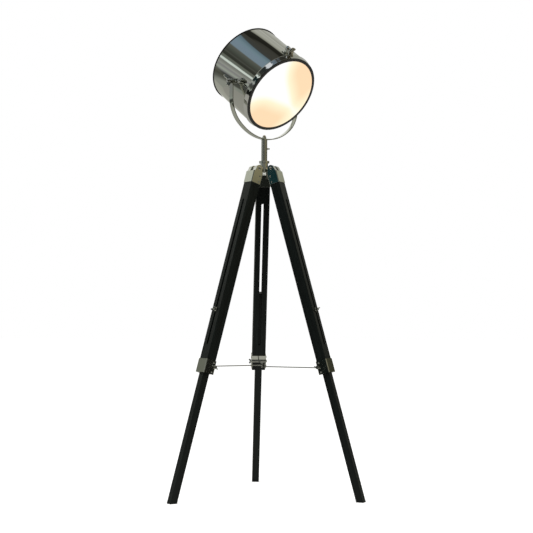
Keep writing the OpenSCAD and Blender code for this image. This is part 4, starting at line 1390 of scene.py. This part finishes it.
@dataclass
class Studio:
    """Pale floor, soft light, the room that bright metal mirrors, and the camera."""

    camera_at: tuple[float, float, float] = (0.00342, -4.0, 0.56554)
    lens_mm: float = 83.152
    sensor_mm: float = 36.0
    pitch: float = 2.4758
    yaw: float = -0.0785
    roll: float = 0.2384
    floor_half: float = 30.0
    floor_lift: float = 0.42
    # How far in front of the lamp mirrors begin to see the floor dark, a painted reflection, and
    # how soft that edge is
    rug: float = 0.85
    rug_blur: float = 0.15
    room_radius: float = 9.0
    world_light: float = 0.75
    lamp_width: float = 2.4
    lamp_aim: tuple[float, float, float] = (0.0, 0.0, 0.8)

    def camera(self) -> None:
        """The photograph's viewpoint."""
        data = bpy.data.cameras.new("camera")
        data.lens = self.lens_mm
        data.sensor_width = self.sensor_mm
        data.sensor_fit = "HORIZONTAL"
        data.clip_start, data.clip_end = 0.05, 200.0
        obj = added("camera", data)
        obj.matrix_world = (LAYOUT.base() @ Matrix.Translation(self.camera_at)
                            @ rotation(self.yaw, "Z") @ rotation(90.0 + self.pitch, "X")
                            @ rotation(self.roll, "Z"))
        bpy.context.scene.camera = obj

    def floor(self) -> None:
        """A pale floor, white to the camera, that keeps the lamp's soft shadow.

        Bright metal sees it greyer, and dark in front of the lamp: a painted reflection that
        only mirrors see.
        """
        bm = bmesh.new()
        bmesh.ops.create_grid(bm, x_segments=1, y_segments=1, size=self.floor_half)
        obj = as_object("floor", bm)
        material, tree = blank_material("pale_floor")
        path = put(tree, "ShaderNodeLightPath")
        glossy = path.outputs["Is Glossy Ray"]
        lift = put(tree, "ShaderNodeMath",
                   {0: path.outputs["Is Camera Ray"], 1: self.floor_lift},
                   operation="MULTIPLY")
        spot = put(tree, "ShaderNodeSeparateXYZ", {0: placed(tree, LAYOUT.base())})
        # Painted reflection: past this reach in front of the lamp, glossy rays see the floor
        # dark
        near = put(tree, "ShaderNodeMapRange",
                   {"Value": spot.outputs["Y"], "From Min": self.rug_blur - self.rug,
                    "From Max": -self.rug_blur - self.rug}, interpolation_type="SMOOTHSTEP")
        dim = put(tree, "ShaderNodeMath", {0: near.outputs["Result"], 1: glossy},
                  operation="MULTIPLY")
        grey = put(tree, "ShaderNodeMix",
                   {"Factor": glossy, 6: linear("#f4f4f2"), 7: linear("#bcbcb4")},
                   data_type="RGBA")
        colour = put(tree, "ShaderNodeMix", {"Factor": dim.outputs[0], 6: grey.outputs[2],
                                             7: linear("#20221f")}, data_type="RGBA")
        principled(tree, {"Base Color": colour.outputs[2], "Roughness": 0.9,
                          "Specular IOR Level": 0.0, "Emission Color": linear("#ffffff"),
                          "Emission Strength": lift.outputs[0]})
        obj.data.materials.append(material)

    def world(self) -> None:
        """An even white world, full white to the camera and through glass."""
        world = bpy.data.worlds.new("world")
        bpy.context.scene.world = world
        world.use_nodes = True
        tree = world.node_tree
        tree.nodes.clear()
        path = put(tree, "ShaderNodeLightPath")
        seen = put(tree, "ShaderNodeMath", {0: path.outputs["Is Camera Ray"],
                                            1: path.outputs["Is Transmission Ray"]},
                   operation="MAXIMUM")
        strength = put(tree, "ShaderNodeMapRange",
                       {"Value": seen.outputs[0], "To Min": self.world_light, "To Max": 1.0})
        back = put(tree, "ShaderNodeBackground", {"Color": linear("#ffffff"),
                                                  "Strength": strength.outputs["Result"]})
        put(tree, "ShaderNodeOutputWorld", {"Surface": back.outputs["Background"]})

    def room(self) -> None:
        """The room of WALLS, on a sphere round the head that only bright surfaces mirror."""
        bm = bmesh.new()
        bmesh.ops.create_uvsphere(bm, u_segments=96, v_segments=48, radius=self.room_radius)
        bm.transform(LAYOUT.pivot())
        obj = as_object("mirrored_room", bm, angle=180.0)
        material, tree = blank_material("room_walls")
        way = put(tree, "ShaderNodeSeparateXYZ",
                  {0: placed(tree, LAYOUT.pivot(), (self.room_radius,) * 3)})
        height = put(tree, "ShaderNodeMapRange", {"Value": way.outputs["Z"], "From Min": -1.0,
                                                  "From Max": 1.0}).outputs["Result"]
        bearing = put(tree, "ShaderNodeMath", {0: way.outputs["X"], 1: way.outputs["Y"]},
                      operation="ARCTAN2").outputs[0]
        colour = ramp(tree, height, self.stops(FRONT))
        for wall in WALLS:
            start, end = (math.radians(a) for a in wall.begins)
            share = put(tree, "ShaderNodeMapRange",
                        {"Value": bearing, "From Min": start, "From Max": end},
                        interpolation_type="SMOOTHSTEP")
            bands = ramp(tree, height, self.stops(wall.bands))
            colour = put(tree, "ShaderNodeMix",
                         {"Factor": share.outputs["Result"], 6: colour, 7: bands},
                         data_type="RGBA").outputs[2]
        glow = put(tree, "ShaderNodeEmission", {"Color": colour})
        put(tree, "ShaderNodeOutputMaterial", {"Surface": glow.outputs["Emission"]})
        obj.data.materials.append(material)
        for kind in ("camera", "diffuse", "shadow", "transmission", "volume_scatter"):
            setattr(obj, "visible_" + kind, False)

    @staticmethod
    def stops(bands: Bands) -> list[tuple[float, str]]:
        """Turns bands given by elevation in degrees to a ramp's stops."""
        return [((math.sin(math.radians(angle)) + 1.0) / 2.0, code) for angle, code in bands]

    def lamps(self) -> None:
        """Two broad soft lamps, which the metal doesn't mirror."""
        for name, at, power in (("key", (-2.2, -2.6, 3.2), 55.0),
                                ("fill", (2.8, -1.6, 2.2), 25.0)):
            data = bpy.data.lights.new(name, "AREA")
            data.shape = "DISK"
            data.size = self.lamp_width
            data.energy = power
            obj = added(name, data)
            obj.location = at
            aim = Vector(self.lamp_aim) - Vector(at)
            obj.rotation_euler = aim.to_track_quat("-Z", "Y").to_euler()
            obj.visible_glossy = False

    def build(self) -> None:
        """Builds the whole studio."""
        self.camera()
        self.floor()
        self.world()
        self.room()
        self.lamps()
        bpy.context.scene.view_settings.view_transform = "Standard"


def main() -> None:
    """Builds the lamp and its studio."""
    logging.basicConfig(level=logging.INFO, format="%(name)s: %(message)s")
    screws = Screws()
    Stand().build()
    Yoke().build()
    Drum().build(screws)
    Bezel().build()
    for side in Side:
        Leg(side).build(screws)
    Brace().build()
    Studio().build()


if __name__ == "__main__":
    main()
